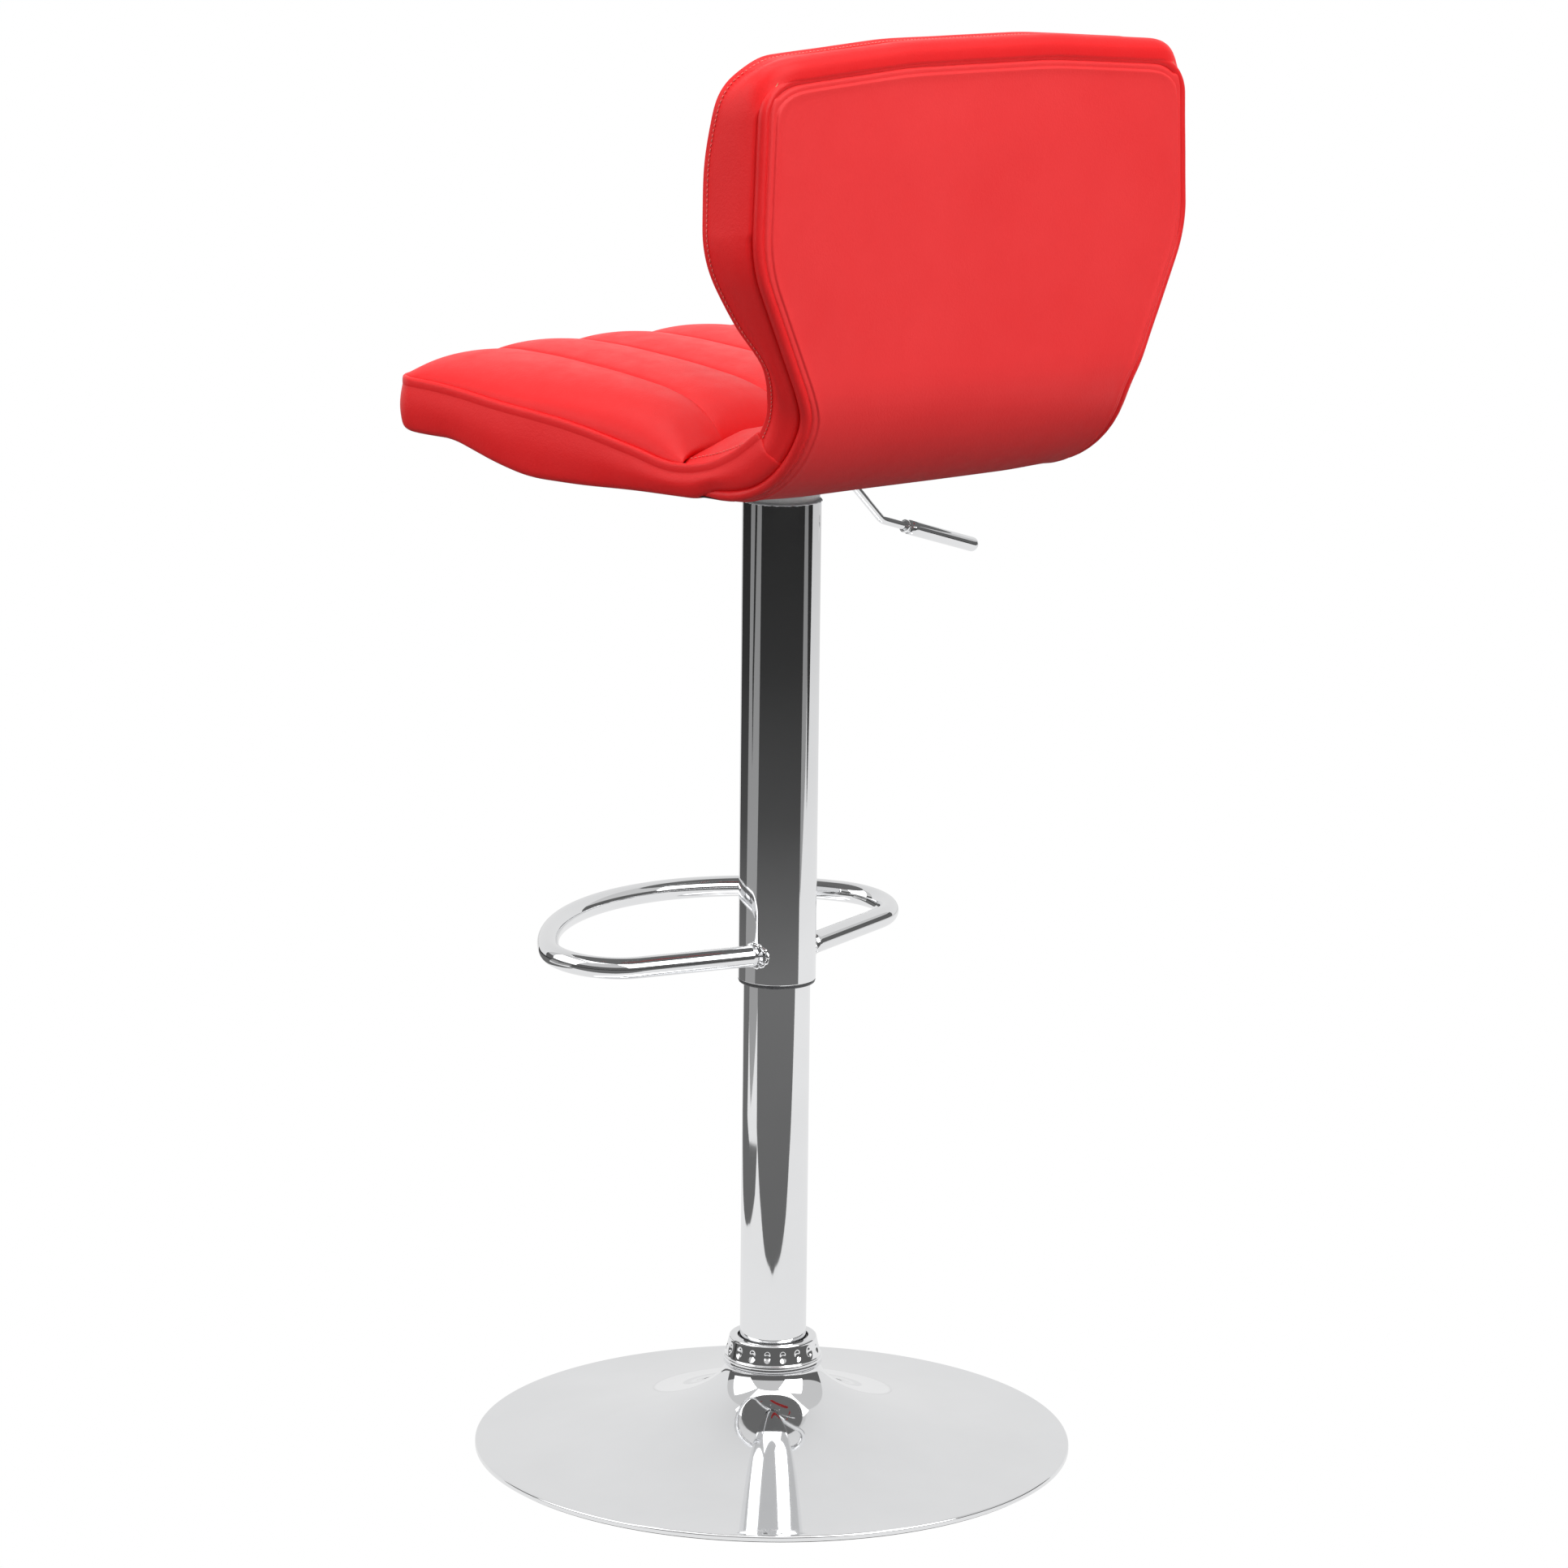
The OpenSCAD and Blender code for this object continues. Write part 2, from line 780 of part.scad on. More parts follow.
module tilted() {
    translate([0, 0, foot_z]) rotate([-foot_tilt, 0, 0]) children();
}

module sleeve_cutter() {
    translate([0, 0, sleeve_bottom]) cylinder(h = sleeve_len, r = sleeve_r + run / 2);
}

module footrest_ring() {
    color("silver") difference() {
        tilted() rod_along([for (p = foot_line) [p.x, p.y, 0]], foot_r, [0, 0, 1], 16);
        sleeve_cutter();
    }
}

module footrest_welds() {
    color("#c8c8c8") difference() {
        tilted()
            for (s = [-1, 1])
            difference() {
                foot_arm(s, foot_r + weld_w, sleeve_r / 2, sleeve_r + weld_w);
                foot_arm(s, foot_r + run / 2, 0, 2 * sleeve_r);
            }
        sleeve_cutter();
    }
}

module plate_hub() {
    socket_r_out = cylinder_r + hub_socket_t;
    color("#e4e4e2") difference() {
        union() {
            translate([0, 0, column_top])
                rotate_extrude()
                polygon([
                    [cylinder_r, 0],
                    [sleeve_r, 0],
                    [hub_top_r, hub_h],
                    [hub_top_r - hub_t, hub_h],
                    [sleeve_r - hub_t, hub_t],
                    [cylinder_r, hub_t]
                ]);
            translate([0, 0, column_top - hub_socket_h])
                cylinder(h = hub_socket_h + hub_t, r = socket_r_out);
        }
        translate([0, 0, cylinder_top - taper_h])
            cylinder(h = taper_h, r1 = cylinder_r + run, r2 = taper_r + run);
        translate([0, 0, column_top - hub_socket_h - over])
            cylinder(h = cylinder_top - taper_h - column_top + hub_socket_h + 1.5 * over, r = cylinder_r + run);
        translate([-hub_top_r - over, -slot_w / 2, lever_z - slot_w / 2])
            cube([hub_top_r, slot_w, plate_z - lever_z + slot_w]);
    }
}

module seat_plate() {
    color("#1e1e20") translate([0, 0, plate_z]) difference() {
        linear_extrude(plate_t)
            polygon(rounded(concat(
                [[0, -plate_d / 2, 0]],
                [for (c = [[1, -1], [1, 1], [-1, 1], [-1, -1]])
                    [c.x * plate_w / 2, c.y * plate_d / 2, plate_corner_r]],
                [[-1, -plate_d / 2, 0]]
            )));
        translate([0, 0, -over]) cylinder(h = plate_t + 2 * over, r = plate_hole_r);
        translate([0, 0, -over]) at_bolts() cylinder(h = plate_t + 2 * over, r = bolt_r + gap);
    }
}

module lever_bracket() {
    color("#1e1e20")
        for (s = [-1, 1])
        difference() {
            translate([
                -pivot_x - ear_w / 2,
                s * (eye_w / 2 + ear_gap + ear_t / 2) - ear_t / 2,
                lever_z - eye_r
            ])
                cube([ear_w, ear_t, plate_z - lever_z + eye_r]);
            translate([-pivot_x, 0, lever_z])
                rotate([90, 0, 0])
                cylinder(h = 4 * eye_w, r = pin_r + run, center = true);
        }
}

module lever_pin() {
    half = eye_w / 2 + ear_gap + ear_t + run;
    color("silver") translate([-pivot_x, 0, lever_z]) rotate([90, 0, 0]) {
        cylinder(h = 2 * half, r = pin_r, center = true);
        for (s = [-1, 1])
            translate([0, 0, s * (half + pin_head_t / 2)])
            cylinder(h = pin_head_t, r = pin_head_r, center = true);
    }
}

module lever_block() {
    color("#c4c4c6") translate([-pivot_x, 0, lever_z]) difference() {
        union() {
            translate([-block_out, 0, 0])
                rotate([0, 90, 0])
                cylinder(h = block_out + pivot_x + lever_in, r = block_r);
            rotate([90, 0, 0]) cylinder(h = eye_w, r = eye_r, center = true);
        }
        rotate([90, 0, 0]) cylinder(h = 2 * eye_w, r = pin_r + run, center = true);
        translate([-block_out - over, 0, 0])
            rotate([0, 90, 0])
            cylinder(h = block_socket + over, r = lever_r + run);
    }
}

module lever_rod() {
    color("silver") rod_along([for (p = rounded(lever_line)) [p.x, 0, p.y]], lever_r, [0, 1, 0], 16);
}

module lever_grip() {
    color("silver")
        translate([-lever_reach, 0, elbow_z - (lever_reach - elbow_x) * tan(grip_slope)])
        rotate([0, 90 - grip_slope, 0])
        rotate_extrude()
        polygon(concat(
            [[0, 0]],
            [for (a = [0:15:90]) [
                grip_r - grip_tip_r * (1 - sin(a)),
                grip_tip_r * (1 - cos(a))
            ]],
            [
                [grip_r, grip_len - grip_step],
                [grip_r - grip_neck, grip_len - grip_step],
                [grip_r - grip_neck, grip_len],
                [lever_r + run, grip_len],
                [lever_r + run, grip_bore_start],
                [0, grip_bore_start]
            ]
        ));
}

module plate_bolts() {
    head_z = plate_z - bolt_washer_t - bolt_head_h;
    color("#8d8d90") at_bolts() {
        translate([0, 0, head_z]) cylinder(h = bolt_head_h, r = bolt_head_r, $fn = 6);
        translate([0, 0, head_z + bolt_head_h])
            cylinder(h = bolt_washer_t + plate_t + bolt_len, r = bolt_r);
    }
}

module plate_washers() {
    color("#b0b0b4") at_bolts()
        ring_at(plate_z - bolt_washer_t, bolt_head_r + 1.5, bolt_r + run, bolt_washer_t);
}

module tee_nuts() {
    color("#a3a3a8") at_bolts() difference() {
        union() {
            translate([0, 0, plate_top + nut_recess]) cylinder(h = bolt_len, r = nut_barrel_r);
            translate([0, 0, plate_top + shell_t]) cylinder(h = nut_flange_t, r = nut_flange_r);
        }
        translate([0, 0, plate_top]) cylinder(h = shell_t + 2 * nut_flange_t, r = bolt_r + run);
    }
}

module seat_shell() {
    color("#b98d5b") difference() {
        intersection() {
            across() face_slice(skin_t, skin_t + shell_t);
            back_space(shell_in);
        }
        translate([0, 0, plate_top - over])
            at_bolts()
            cylinder(h = shell_t + 2 * over, r = nut_barrel_r + run);
    }
}

module dust_cover() {
    color("#151515") difference() {
        intersection() {
            across() intersection() {
                face_slice(skin_t - dust_t, skin_t);
                translate([-wide, 0]) square([wide + dust_rear, 2 * wide]);
            }
            seat_space(dust_in);
        }
        translate([-plate_w / 2 - dust_gap, -plate_d / 2 - dust_gap, plate_z - over])
            cube([plate_w + 2 * dust_gap, plate_d + 2 * dust_gap, plate_t + 2 * over]);
    }
}

// Flat region on the back's side (s = 1) or the seat's side (s = -1) of the bend's middle
module bend_side(s) {
    translate([seat_back - bend_r, underside_z + bend_r])
        rotate(-45)
        translate([-2 * wide, s > 0 ? gap / 2 : -gap / 2 - 4 * wide])
        square([4 * wide, 4 * wide]);
}

module seat_cushion() {
    front = -seat_front;
    color("red") difference() {
        intersection() {
            across() polygon(concat(
                [[front, underside_z + nose_rise + pad_d0]],
                [for (p = face_line(pad_d0)) if (p.x < crease_y - gap) p],
                rounded([
                    [crease_y - gap / 2, underside_z + pad_d0, 0],
                    [crease_y - gap / 2, underside_z + crease_h, crease_r],
                    [pad_drop_y, underside_z + pad_rear_h, pad_drop_r],
                    [front + pad_in, underside_z + seat_pad_h, pad_nose_r],
                    [front + pad_in, underside_z + nose_rise + pad_d0, 0]
                ])
            ));
            seat_space(pad_in);
        }
        translate([0, 0, plate_top + shell_t - over])
            at_bolts()
            cylinder(h = nut_flange_t + gap + over, r = nut_flange_r + gap);
    }
}

module back_cushion() {
    front = seat_back - back_pad_d;
    color("red") intersection() {
        across() polygon(concat(
            [[crease_y + gap / 2, underside_z + pad_d0]],
            [for (p = face_line(pad_d0)) if (p.x > crease_y + gap) p],
            rounded([
                [front, underside_z + back_h + back_crown, 0],
                [front, underside_z + chest_h, chest_r],
                [front + lumbar_in, underside_z + lumbar_h, lumbar_r],
                [heel_y, underside_z + crease_h + heel_rise, heel_r],
                [crease_y + gap / 2, underside_z + crease_h, 0]
            ])
        ));
        back_space(pad_in);
    }
}

module seat_band() {
    seam = rounded([
        [-seat_front, underside_z + seam_front_h, 0],
        [-seat_front + seam_bend, underside_z + seam_front_h - seam_fall, seam_bend_r],
        [seam_dip_y, underside_z + seam_dip_h, seam_dip_r],
        [seam_rear_y, underside_z + seam_rear_h, 0]
    ]);
    color("red") intersection() {
        across() difference() {
            intersection() {
                polygon(concat(
                    [[-seat_front, underside_z + nose_rise]],
                    face_line(0),
                    reversed(seam)
                ));
                bend_side(-1);
            }
            intersection() {
                face_slice(-over, shell_in);
                translate([cover_start - dust_gap, 0]) square(4 * wide);
            }
        }
        difference() {
            seat_space(0);
            seat_space(band_t);
        }
    }
}

module back_band() {
    color("red") intersection() {
        across() intersection() {
            face_slice(shell_in, band_front);
            bend_side(1);
        }
        difference() {
            back_space(0);
            back_space(band_t);
        }
    }
}

module rear_cover() {
    color("crimson") intersection() {
        across() intersection() {
            face_slice(0, skin_t);
            translate([cover_start, 0]) square(4 * wide);
        }
        back_space(shell_in);
    }
}

module piping() {
    x = waist_w / 2 - welt_in;
    y = seat_back - welt_in;
    bend = [for (p = face_line(welt_in)) if (p.x > cover_start && p.y < split_z) [x, p.x, p.y]];
    over_top = [for (p = back_outline(welt_in)) if (p.y > split_z) [p.x, y, p.y]];
    far_bend = reversed([for (p = bend) [-p.x, p.y, p.z]]);
    color("red") rod_along(concat(bend, over_top, far_bend), welt_r, [1, 0, 0]);
}

floor_ring();
ballast_plate();
base_cover();
base_socket();
rod_washer();
collar();
collar_grommet();
lower_tube();
tube_top_bush();
tube_lower_bush();
bearing_lower_race();
bearing_cage();
bearing_balls();
bearing_upper_race();
piston_rod();
piston();
rod_clip();
bump_stop();
gas_cylinder();
rod_gland();
sleeve();
sleeve_bottom_ring();
sleeve_top_cap();
footrest_ring();
footrest_welds();
plate_hub();
seat_plate();
lever_bracket();
lever_pin();
plate_bolts();
plate_washers();
tee_nuts();
seat_shell();
dust_cover();
seat_cushion();
back_cushion();
seat_band();
back_band();
rear_cover();
piping();
lever_block();
lever_rod();
lever_grip();
valve_pin();
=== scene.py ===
"""Looks of the gas-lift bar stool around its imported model.

Metres, +Z up, the seat faces -Y, the back stands at +Y and the lever is on the -X side.
"""

import bpy
import json
import math
import numpy as np
from mathutils import Matrix, Vector


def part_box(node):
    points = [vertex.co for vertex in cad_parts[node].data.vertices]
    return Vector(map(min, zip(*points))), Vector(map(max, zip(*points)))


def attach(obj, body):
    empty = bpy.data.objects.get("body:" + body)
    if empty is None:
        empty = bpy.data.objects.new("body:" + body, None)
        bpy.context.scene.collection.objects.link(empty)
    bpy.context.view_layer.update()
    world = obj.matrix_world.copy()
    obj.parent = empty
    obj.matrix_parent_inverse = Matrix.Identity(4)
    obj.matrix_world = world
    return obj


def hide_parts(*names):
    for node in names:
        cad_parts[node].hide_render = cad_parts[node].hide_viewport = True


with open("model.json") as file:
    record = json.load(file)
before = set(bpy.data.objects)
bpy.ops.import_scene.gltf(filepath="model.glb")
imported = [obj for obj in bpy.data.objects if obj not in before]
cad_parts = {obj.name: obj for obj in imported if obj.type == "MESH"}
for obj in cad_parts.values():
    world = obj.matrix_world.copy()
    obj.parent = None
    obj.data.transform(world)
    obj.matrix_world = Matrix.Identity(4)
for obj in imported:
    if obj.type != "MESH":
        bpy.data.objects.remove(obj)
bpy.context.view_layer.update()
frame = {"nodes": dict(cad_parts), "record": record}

scene = bpy.context.scene
MM = 0.001


# ---------------- sizes from the frame


def low(node, axis):
    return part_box(node)[0][axis]


def high(node, axis):
    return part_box(node)[1][axis]


BASE_R, NECK_Z = high("base_cover", 0), high("base_cover", 2)
TUBE_R = high("lower_tube", 0)
TUBE_LOW, TUBE_HIGH = low("lower_tube", 2), high("lower_tube", 2)
SLEEVE_R = high("sleeve", 0)
SLEEVE_LOW, SLEEVE_HIGH = low("sleeve", 2), high("sleeve", 2)
COLLAR_LOW, COLLAR_HIGH = low("collar", 2), high("collar", 2)
COLLAR_R = high("collar", 0)
UNDER_Z, SEAT_HALF = low("seat_band", 2), high("seat_band", 0)
SEAT_FRONT = -low("seat_band", 1)
BACK_HALF, BACK_TOP = high("back_band", 0), high("back_band", 2)
REAR_Y = high("rear_cover", 1)

# ---------------- the upholstery's own sizes

# The piping, the bend from seat to back, and half the width there
WELT_R = 4 * MM
WELT_D = 2 * WELT_R
BEND_R = 90 * MM
WAIST_HALF = 164 * MM
# The sewn grooves' distances from the middle, what the pads leave for the side strips, and the depth of the
# pads' undersides inside the skin
GROOVES = (36.5 * MM, 110 * MM)
PAD_INSET = 2.6 * MM
SHELL_IN = 14.6 * MM
# Where the side seams of the two pads meet, where the seat's side strip ends, and how high the back's begins
CREASE_Y = 78 * MM
SEAT_STRIP_END = 148 * MM
BACK_STRIP_START = UNDER_Z + 32 * MM
# The height at which a seam passes from the seat's outline to the back's
BEND_TOP = UNDER_Z + 52 * MM
# Rows of points along the seat pad, and along the back pad's foot and its upright part
SEAT_ROWS = 66
BACK_FOOT_ROWS, BACK_UPRIGHT_ROWS = 18, 62
BACK_ROWS = BACK_FOOT_ROWS + BACK_UPRIGHT_ROWS

# ---------------- curves


def rounded(points, steps=14):
    """The line through (a, b, radius) corners, with its inner corners made round."""
    line = [np.array(points[0][:2], float)]
    for before, here, after in zip(points, points[1:], points[2:]):
        a, b, c = (np.array(p[:2], float) for p in (before, here, after))
        radius = here[2]
        u, v = (a - b) / np.linalg.norm(a - b), (c - b) / np.linalg.norm(c - b)
        half = math.acos(max(-1, min(1, u @ v))) / 2
        middle = (u + v) / np.linalg.norm(u + v)
        centre = b + middle * radius / math.sin(half)
        first = b + u * radius / math.tan(half) - centre
        side = (b - a)[0] * (c - b)[1] - (b - a)[1] * (c - b)[0]
        sweep = (math.pi - 2 * half) * (1 if side > 0 else -1)
        for k in range(steps + 1):
            t = sweep * k / steps
            turn = np.array([[math.cos(t), -math.sin(t)], [math.sin(t), math.cos(t)]])
            line.append(centre + turn @ first)
    line.append(np.array(points[-1][:2], float))
    return np.array(line)


def lengths(line):
    """How far along the line each of its points is."""
    return np.concatenate([[0], np.cumsum(np.linalg.norm(np.diff(line, axis=0), axis=1))])


def points_at(line, along, at):
    """Points of the line at given lengths along it."""
    return np.stack([np.interp(at, along, column) for column in line.T], 1)


def resampled(line, count):
    """The same line as count points at even steps."""
    along = lengths(line)
    return points_at(line, along, np.linspace(0, along[-1], count))


def smooth(keys, values, at):
    """A smooth curve through (key, value) pairs with rising keys."""
    keys, values, at = (np.asarray(v, float) for v in (keys, values, at))
    slope = np.gradient(values, keys)
    k = np.clip(np.searchsorted(keys, at) - 1, 0, len(keys) - 2)
    h = keys[k + 1] - keys[k]
    t = np.clip((at - keys[k]) / h, 0, 1)
    a = (2 * t**3 - 3 * t**2 + 1) * values[k] + (t**3 - 2 * t**2 + t) * h * slope[k]
    b = (3 * t**2 - 2 * t**3) * values[k + 1] + (t**3 - t**2) * h * slope[k + 1]
    return a + b


def ease(x, start, end):
    """0 up to start, 1 from end on, and a smooth rise between."""
    t = np.clip((x - start) / (end - start), 0, 1)
    return t * t * (3 - 2 * t)


def ripples(x, y, size, seed=0):
    """Gentle unevenness from -1 to 1, with waves about size long."""
    total = np.zeros(np.broadcast(x, y).shape)
    for k in range(5):
        angle = 2.4 * k + seed
        wave = size * (0.75 + 0.17 * k)
        place = x * math.cos(angle) + y * math.sin(angle)
        total += np.sin(place * 2 * math.pi / wave + 1.7 * k + seed)
    return total / 5


def near(a, b, *steps):
    """Points at steps in mm from (a, b). A third number of a step is a radius."""
    return [(a + step[0] * MM, b + step[1] * MM, *(r * MM for r in step[2:])) for step in steps]


# Half outlines: the seat from above as (across, along), the back from behind as (across, up)
seat_outline = rounded([
    (0, -SEAT_FRONT),
    *near(SEAT_HALF, -SEAT_FRONT, (0, 0, 30), (0, 120, 160)),
    (WAIST_HALF, 108 * MM, 160 * MM),
    (WAIST_HALF, REAR_Y),
])
back_outline = rounded([
    *near(WAIST_HALF, UNDER_Z, (0, 0), (0, 64, 40)),
    (BACK_HALF, UNDER_Z + 174 * MM, 90 * MM),
    (BACK_HALF - 6 * MM, BACK_TOP - 9 * MM, 42 * MM),
    *near(0, BACK_TOP, (70, 0.5, 400), (0, 0.5)),
])
back_corner = int(np.argmax(back_outline[:, 0] + back_outline[:, 1]))


def seat_half(y):
    """Half the seat's width at y."""
    side = seat_outline[np.argmax(seat_outline[:, 0] > SEAT_HALF - 1e-5):]
    return np.interp(y, side[:, 1], side[:, 0])


def back_half(z):
    """Half the back's width at height z."""
    side = back_outline[: back_corner + 1]
    return np.interp(z, side[:, 1], side[:, 0])


def back_top(x):
    """Height of the back's top edge at x."""
    over = back_outline[back_corner:][::-1]
    return np.interp(np.abs(x), over[:, 0], over[:, 1])


def face_line(depth, count=200):
    """The underside and rear face in (y, z), depth inside the skin, from the front to the top."""
    under, rear = UNDER_Z + depth, REAR_Y - depth
    line = rounded([
        (-SEAT_FRONT + 8 * MM, under + 20 * MM),
        *near(0, under, (-142, 20, 110), (-62, 0, 110)),
        (rear, under, BEND_R - depth),
        (rear, BACK_TOP),
    ])
    return resampled(line, count)


def under_z(y, depth=0.0):
    """Height of the seat's underside at y, depth inside the skin."""
    line = face_line(depth)
    line = line[: np.argmax(line[:, 0]) + 1]
    return np.interp(y, line[:, 0], line[:, 1])


def groove_y(z, depth=WELT_D):
    """Where the back's side strip meets the piping: round the bend, then straight up."""
    centre_y, centre_z, r = REAR_Y - BEND_R, UNDER_Z + BEND_R, BEND_R - depth
    drop = np.clip(centre_z - z, 0, r)
    return centre_y + np.sqrt(r * r - drop * drop)


def seat_seam_z(y):
    """The top seam of the seat's side strip: it dips in front of the back and rises beside it."""
    keys = np.array([-213, -150, -77, -18, 33, 70, 100, 125, 150]) * MM
    rise = np.array([59, 57.3, 49.8, 41.7, 30.6, 22.7, 26.5, 37, 53]) * MM
    return UNDER_Z + smooth(keys, rise, y)


def back_seam_y(z):
    """The front seam of the back's side strip: hollow at the waist, forward at the shoulders."""
    rise = np.array([50, 76, 101, 128, 164, 208, 240, 273, 295, 307, 322]) * MM
    y = np.array([149, 164, 171, 158, 149, 145, 145, 151, 157, 164, 168]) * MM
    return smooth(UNDER_Z + rise, y, z)


def pulled(across_up):
    """How far the piping lies inside the back's outline: a little at the sides, more at the top."""
    return 2 * MM + 10 * MM * np.clip(across_up, 0, 1) ** 2


# ---------------- meshes


def placed(name, data):
    """An object in the scene that shows the data: a mesh, a light or the camera."""
    made = bpy.data.objects.new(name, data)
    scene.collection.objects.link(made)
    return made


def new_object(name, points, faces, body, slot, replaced=(), look=None):
    """A piece that rides on a body, in its slot's look or another, and stands for the replaced nodes."""
    mesh = bpy.data.meshes.new(name)
    mesh.from_pydata([tuple(p) for p in points], [], [tuple(f) for f in faces])
    mesh.validate()
    mesh.shade_smooth()
    mesh.materials.append(look or looks[slot])
    piece = placed(name, mesh)
    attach(piece, body)
    if replaced:
        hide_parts(*replaced)
    return piece


def grid_faces(rows, cols, start=0, close_rows=False, close_cols=False, flip=False):
    """Quads between rows x cols points, whose first has the number start."""
    faces = []
    for i in range(rows if close_rows else rows - 1):
        for j in range(cols if close_cols else cols - 1):
            a = start + i * cols + j
            b = start + i * cols + (j + 1) % cols
            c = start + (i + 1) % rows * cols + (j + 1) % cols
            d = start + (i + 1) % rows * cols + j
            faces.append((a, d, c, b) if flip else (a, b, c, d))
    return faces


def lathe(profile, segments, wobble=None):
    """Points and faces of a turned loop. wobble(angles, k) is added to the radii of its k-th point."""
    angles = np.arange(segments) * 2 * math.pi / segments
    rows = []
    for k, (r, z) in enumerate(profile):
        radius = np.full(segments, r) if wobble is None else r + wobble(angles, k)
        rows.append(np.stack([radius * np.cos(angles), radius * np.sin(angles), np.full(segments, z)], 1))
    return np.concatenate(rows), grid_faces(len(profile), segments, close_rows=True, close_cols=True)


def turned_part(name, profile, body, slot, replaced=(), segments=128, wobble=None, look=None):
    """A piece from a (radius, height) loop turned about the column's axis."""
    new_object(name, *lathe(profile, segments, wobble), body, slot, replaced, look)


def swept(line, radii, sides, first_normal, closed=False):
    """Points and faces of a round rod along a line of 3-D points, its sides counted from first_normal."""
    line = np.asarray(line, float)
    if closed:
        ahead = np.roll(line, -1, axis=0) - np.roll(line, 1, axis=0)
    else:
        ahead = np.gradient(line, axis=0)
    ahead /= np.linalg.norm(ahead, axis=1)[:, None]
    radii = np.broadcast_to(radii, len(line))
    normal = np.array(first_normal, float)
    points = []
    for p, t, r in zip(line, ahead, radii):
        normal = normal - t * (normal @ t)
        normal /= np.linalg.norm(normal)
        other = np.cross(t, normal)
        for k in range(sides):
            a = 2 * math.pi * k / sides
            points.append(p + r * (normal * math.cos(a) + other * math.sin(a)))
    faces = grid_faces(len(line), sides, close_rows=closed, close_cols=True)
    if not closed:
        faces.append(tuple(range(sides))[::-1])
        faces.append(tuple((len(line) - 1) * sides + k for k in range(sides)))
    return np.array(points), faces


def mirrored(right):
    """A line of points from the right side over the middle, repeated on the left side."""
    left = right[::-1].copy()
    left[:, 0] *= -1
    if abs(right[-1][0]) < 1e-6:
        left = left[1:]
    return np.concatenate([right, left])


# ---------------- materials


class Look:
    """A material, with the nodes that vary its shader over the surface."""

    def __init__(self, name):
        self.material = bpy.data.materials.new(name)
        self.material.use_nodes = True
        self.nodes, self.links = self.material.node_tree.nodes, self.material.node_tree.links
        self.shader = self.nodes["Principled BSDF"]
        self.place = self.nodes.new("ShaderNodeTexCoord").outputs["Object"]

    def node(self, kind, **values):
        """A new node with these values on its own sockets."""
        made = self.nodes.new("ShaderNode" + kind)
        for name, value in values.items():
            made.inputs[name].default_value = value
        return made

    def noise(self, scale, detail=2.0, rough=0.5, place=None):
        made = self.node("TexNoise", Scale=scale, Detail=detail, Roughness=rough)
        self.links.new(self.place if place is None else place, made.inputs["Vector"])
        return made.outputs["Fac"]

    def ramp(self, value, stops, socket):
        """Send a value to a socket, or to the shader's own, by (place, colour) stops. A number is a grey."""
        made = self.node("ValToRGB")
        bar = made.color_ramp
        while len(bar.elements) < len(stops):
            bar.elements.new(0.5)
        for element, (at, colour) in zip(bar.elements, stops):
            element.position = at
            element.color = (*(grey(colour) if np.isscalar(colour) else colour), 1.0)
        self.links.new(value, made.inputs["Fac"])
        self.links.new(made.outputs["Color"], self.shader.inputs[socket] if isinstance(socket, str) else socket)

    def bump(self, height, distance, strength, under=None):
        """Roughen the surface, over an earlier bump where one is given."""
        made = self.node("Bump", Distance=distance, Strength=strength)
        self.links.new(height, made.inputs["Height"])
        if under is not None:
            self.links.new(under, made.inputs["Normal"])
        self.links.new(made.outputs["Normal"], self.shader.inputs["Normal"])
        return made.outputs["Normal"]


def grey(level):
    return (level, level, level)


def vinyl(name, colour, shade, rough=0.42):
    """Smooth upholstery vinyl: fine leather grain, faint mottling and a soft sheen."""
    look = Look(name)
    look.ramp(look.noise(9.0, 3.0, 0.6), [(0.3, shade), (0.7, colour)], "Base Color")
    look.ramp(look.noise(60.0, 4.0, 0.6), [(0.3, rough - 0.05), (0.75, rough + 0.07)], "Roughness")
    grain = look.node("TexVoronoi", Scale=900.0)
    grain.feature = "SMOOTH_F1"
    look.links.new(look.place, grain.inputs["Vector"])
    soft = look.bump(look.noise(340.0, 3.0, 0.6), 0.4 * MM, 0.25)
    look.bump(grain.outputs["Distance"], 0.3 * MM, 0.3, soft)
    look.shader.inputs["Specular IOR Level"].default_value = 0.24
    return look.material


def metal(name, colour, rough, spread=0.02, grain=0.0):
    """Plated or bare metal, with smudges in its gloss and an optional fine surface grain."""
    look = Look(name)
    look.shader.inputs["Metallic"].default_value = 1.0
    darker = tuple(0.96 * c for c in colour)
    look.ramp(look.noise(10.0, 3.0, 0.6), [(0.3, darker), (0.7, colour)], "Base Color")
    look.ramp(look.noise(30.0, 4.0, 0.65), [(0.35, rough), (0.8, rough + spread)], "Roughness")
    if grain:
        look.bump(look.noise(900.0, 4.0, 0.7), 0.2 * MM, grain)
    return look.material


def plain(name, colour, rough, speckle=0.08, scale=500.0, depth=0.2):
    """Moulded plastic, rubber, paint or cloth: slightly mottled, with a fine textured surface."""
    look = Look(name)
    fine = look.noise(scale, 4.0, 0.6)
    dark = tuple(c * (1 - speckle) for c in colour)
    light = tuple(min(1.0, c * (1 + speckle) + 0.002) for c in colour)
    look.ramp(fine, [(0.3, dark), (0.7, light)], "Base Color")
    coarse = look.noise(scale / 12, 3.0, 0.6)
    look.ramp(coarse, [(0.3, rough - 0.05), (0.7, rough + 0.05)], "Roughness")
    look.bump(fine, 0.3 * MM, depth)
    return look.material


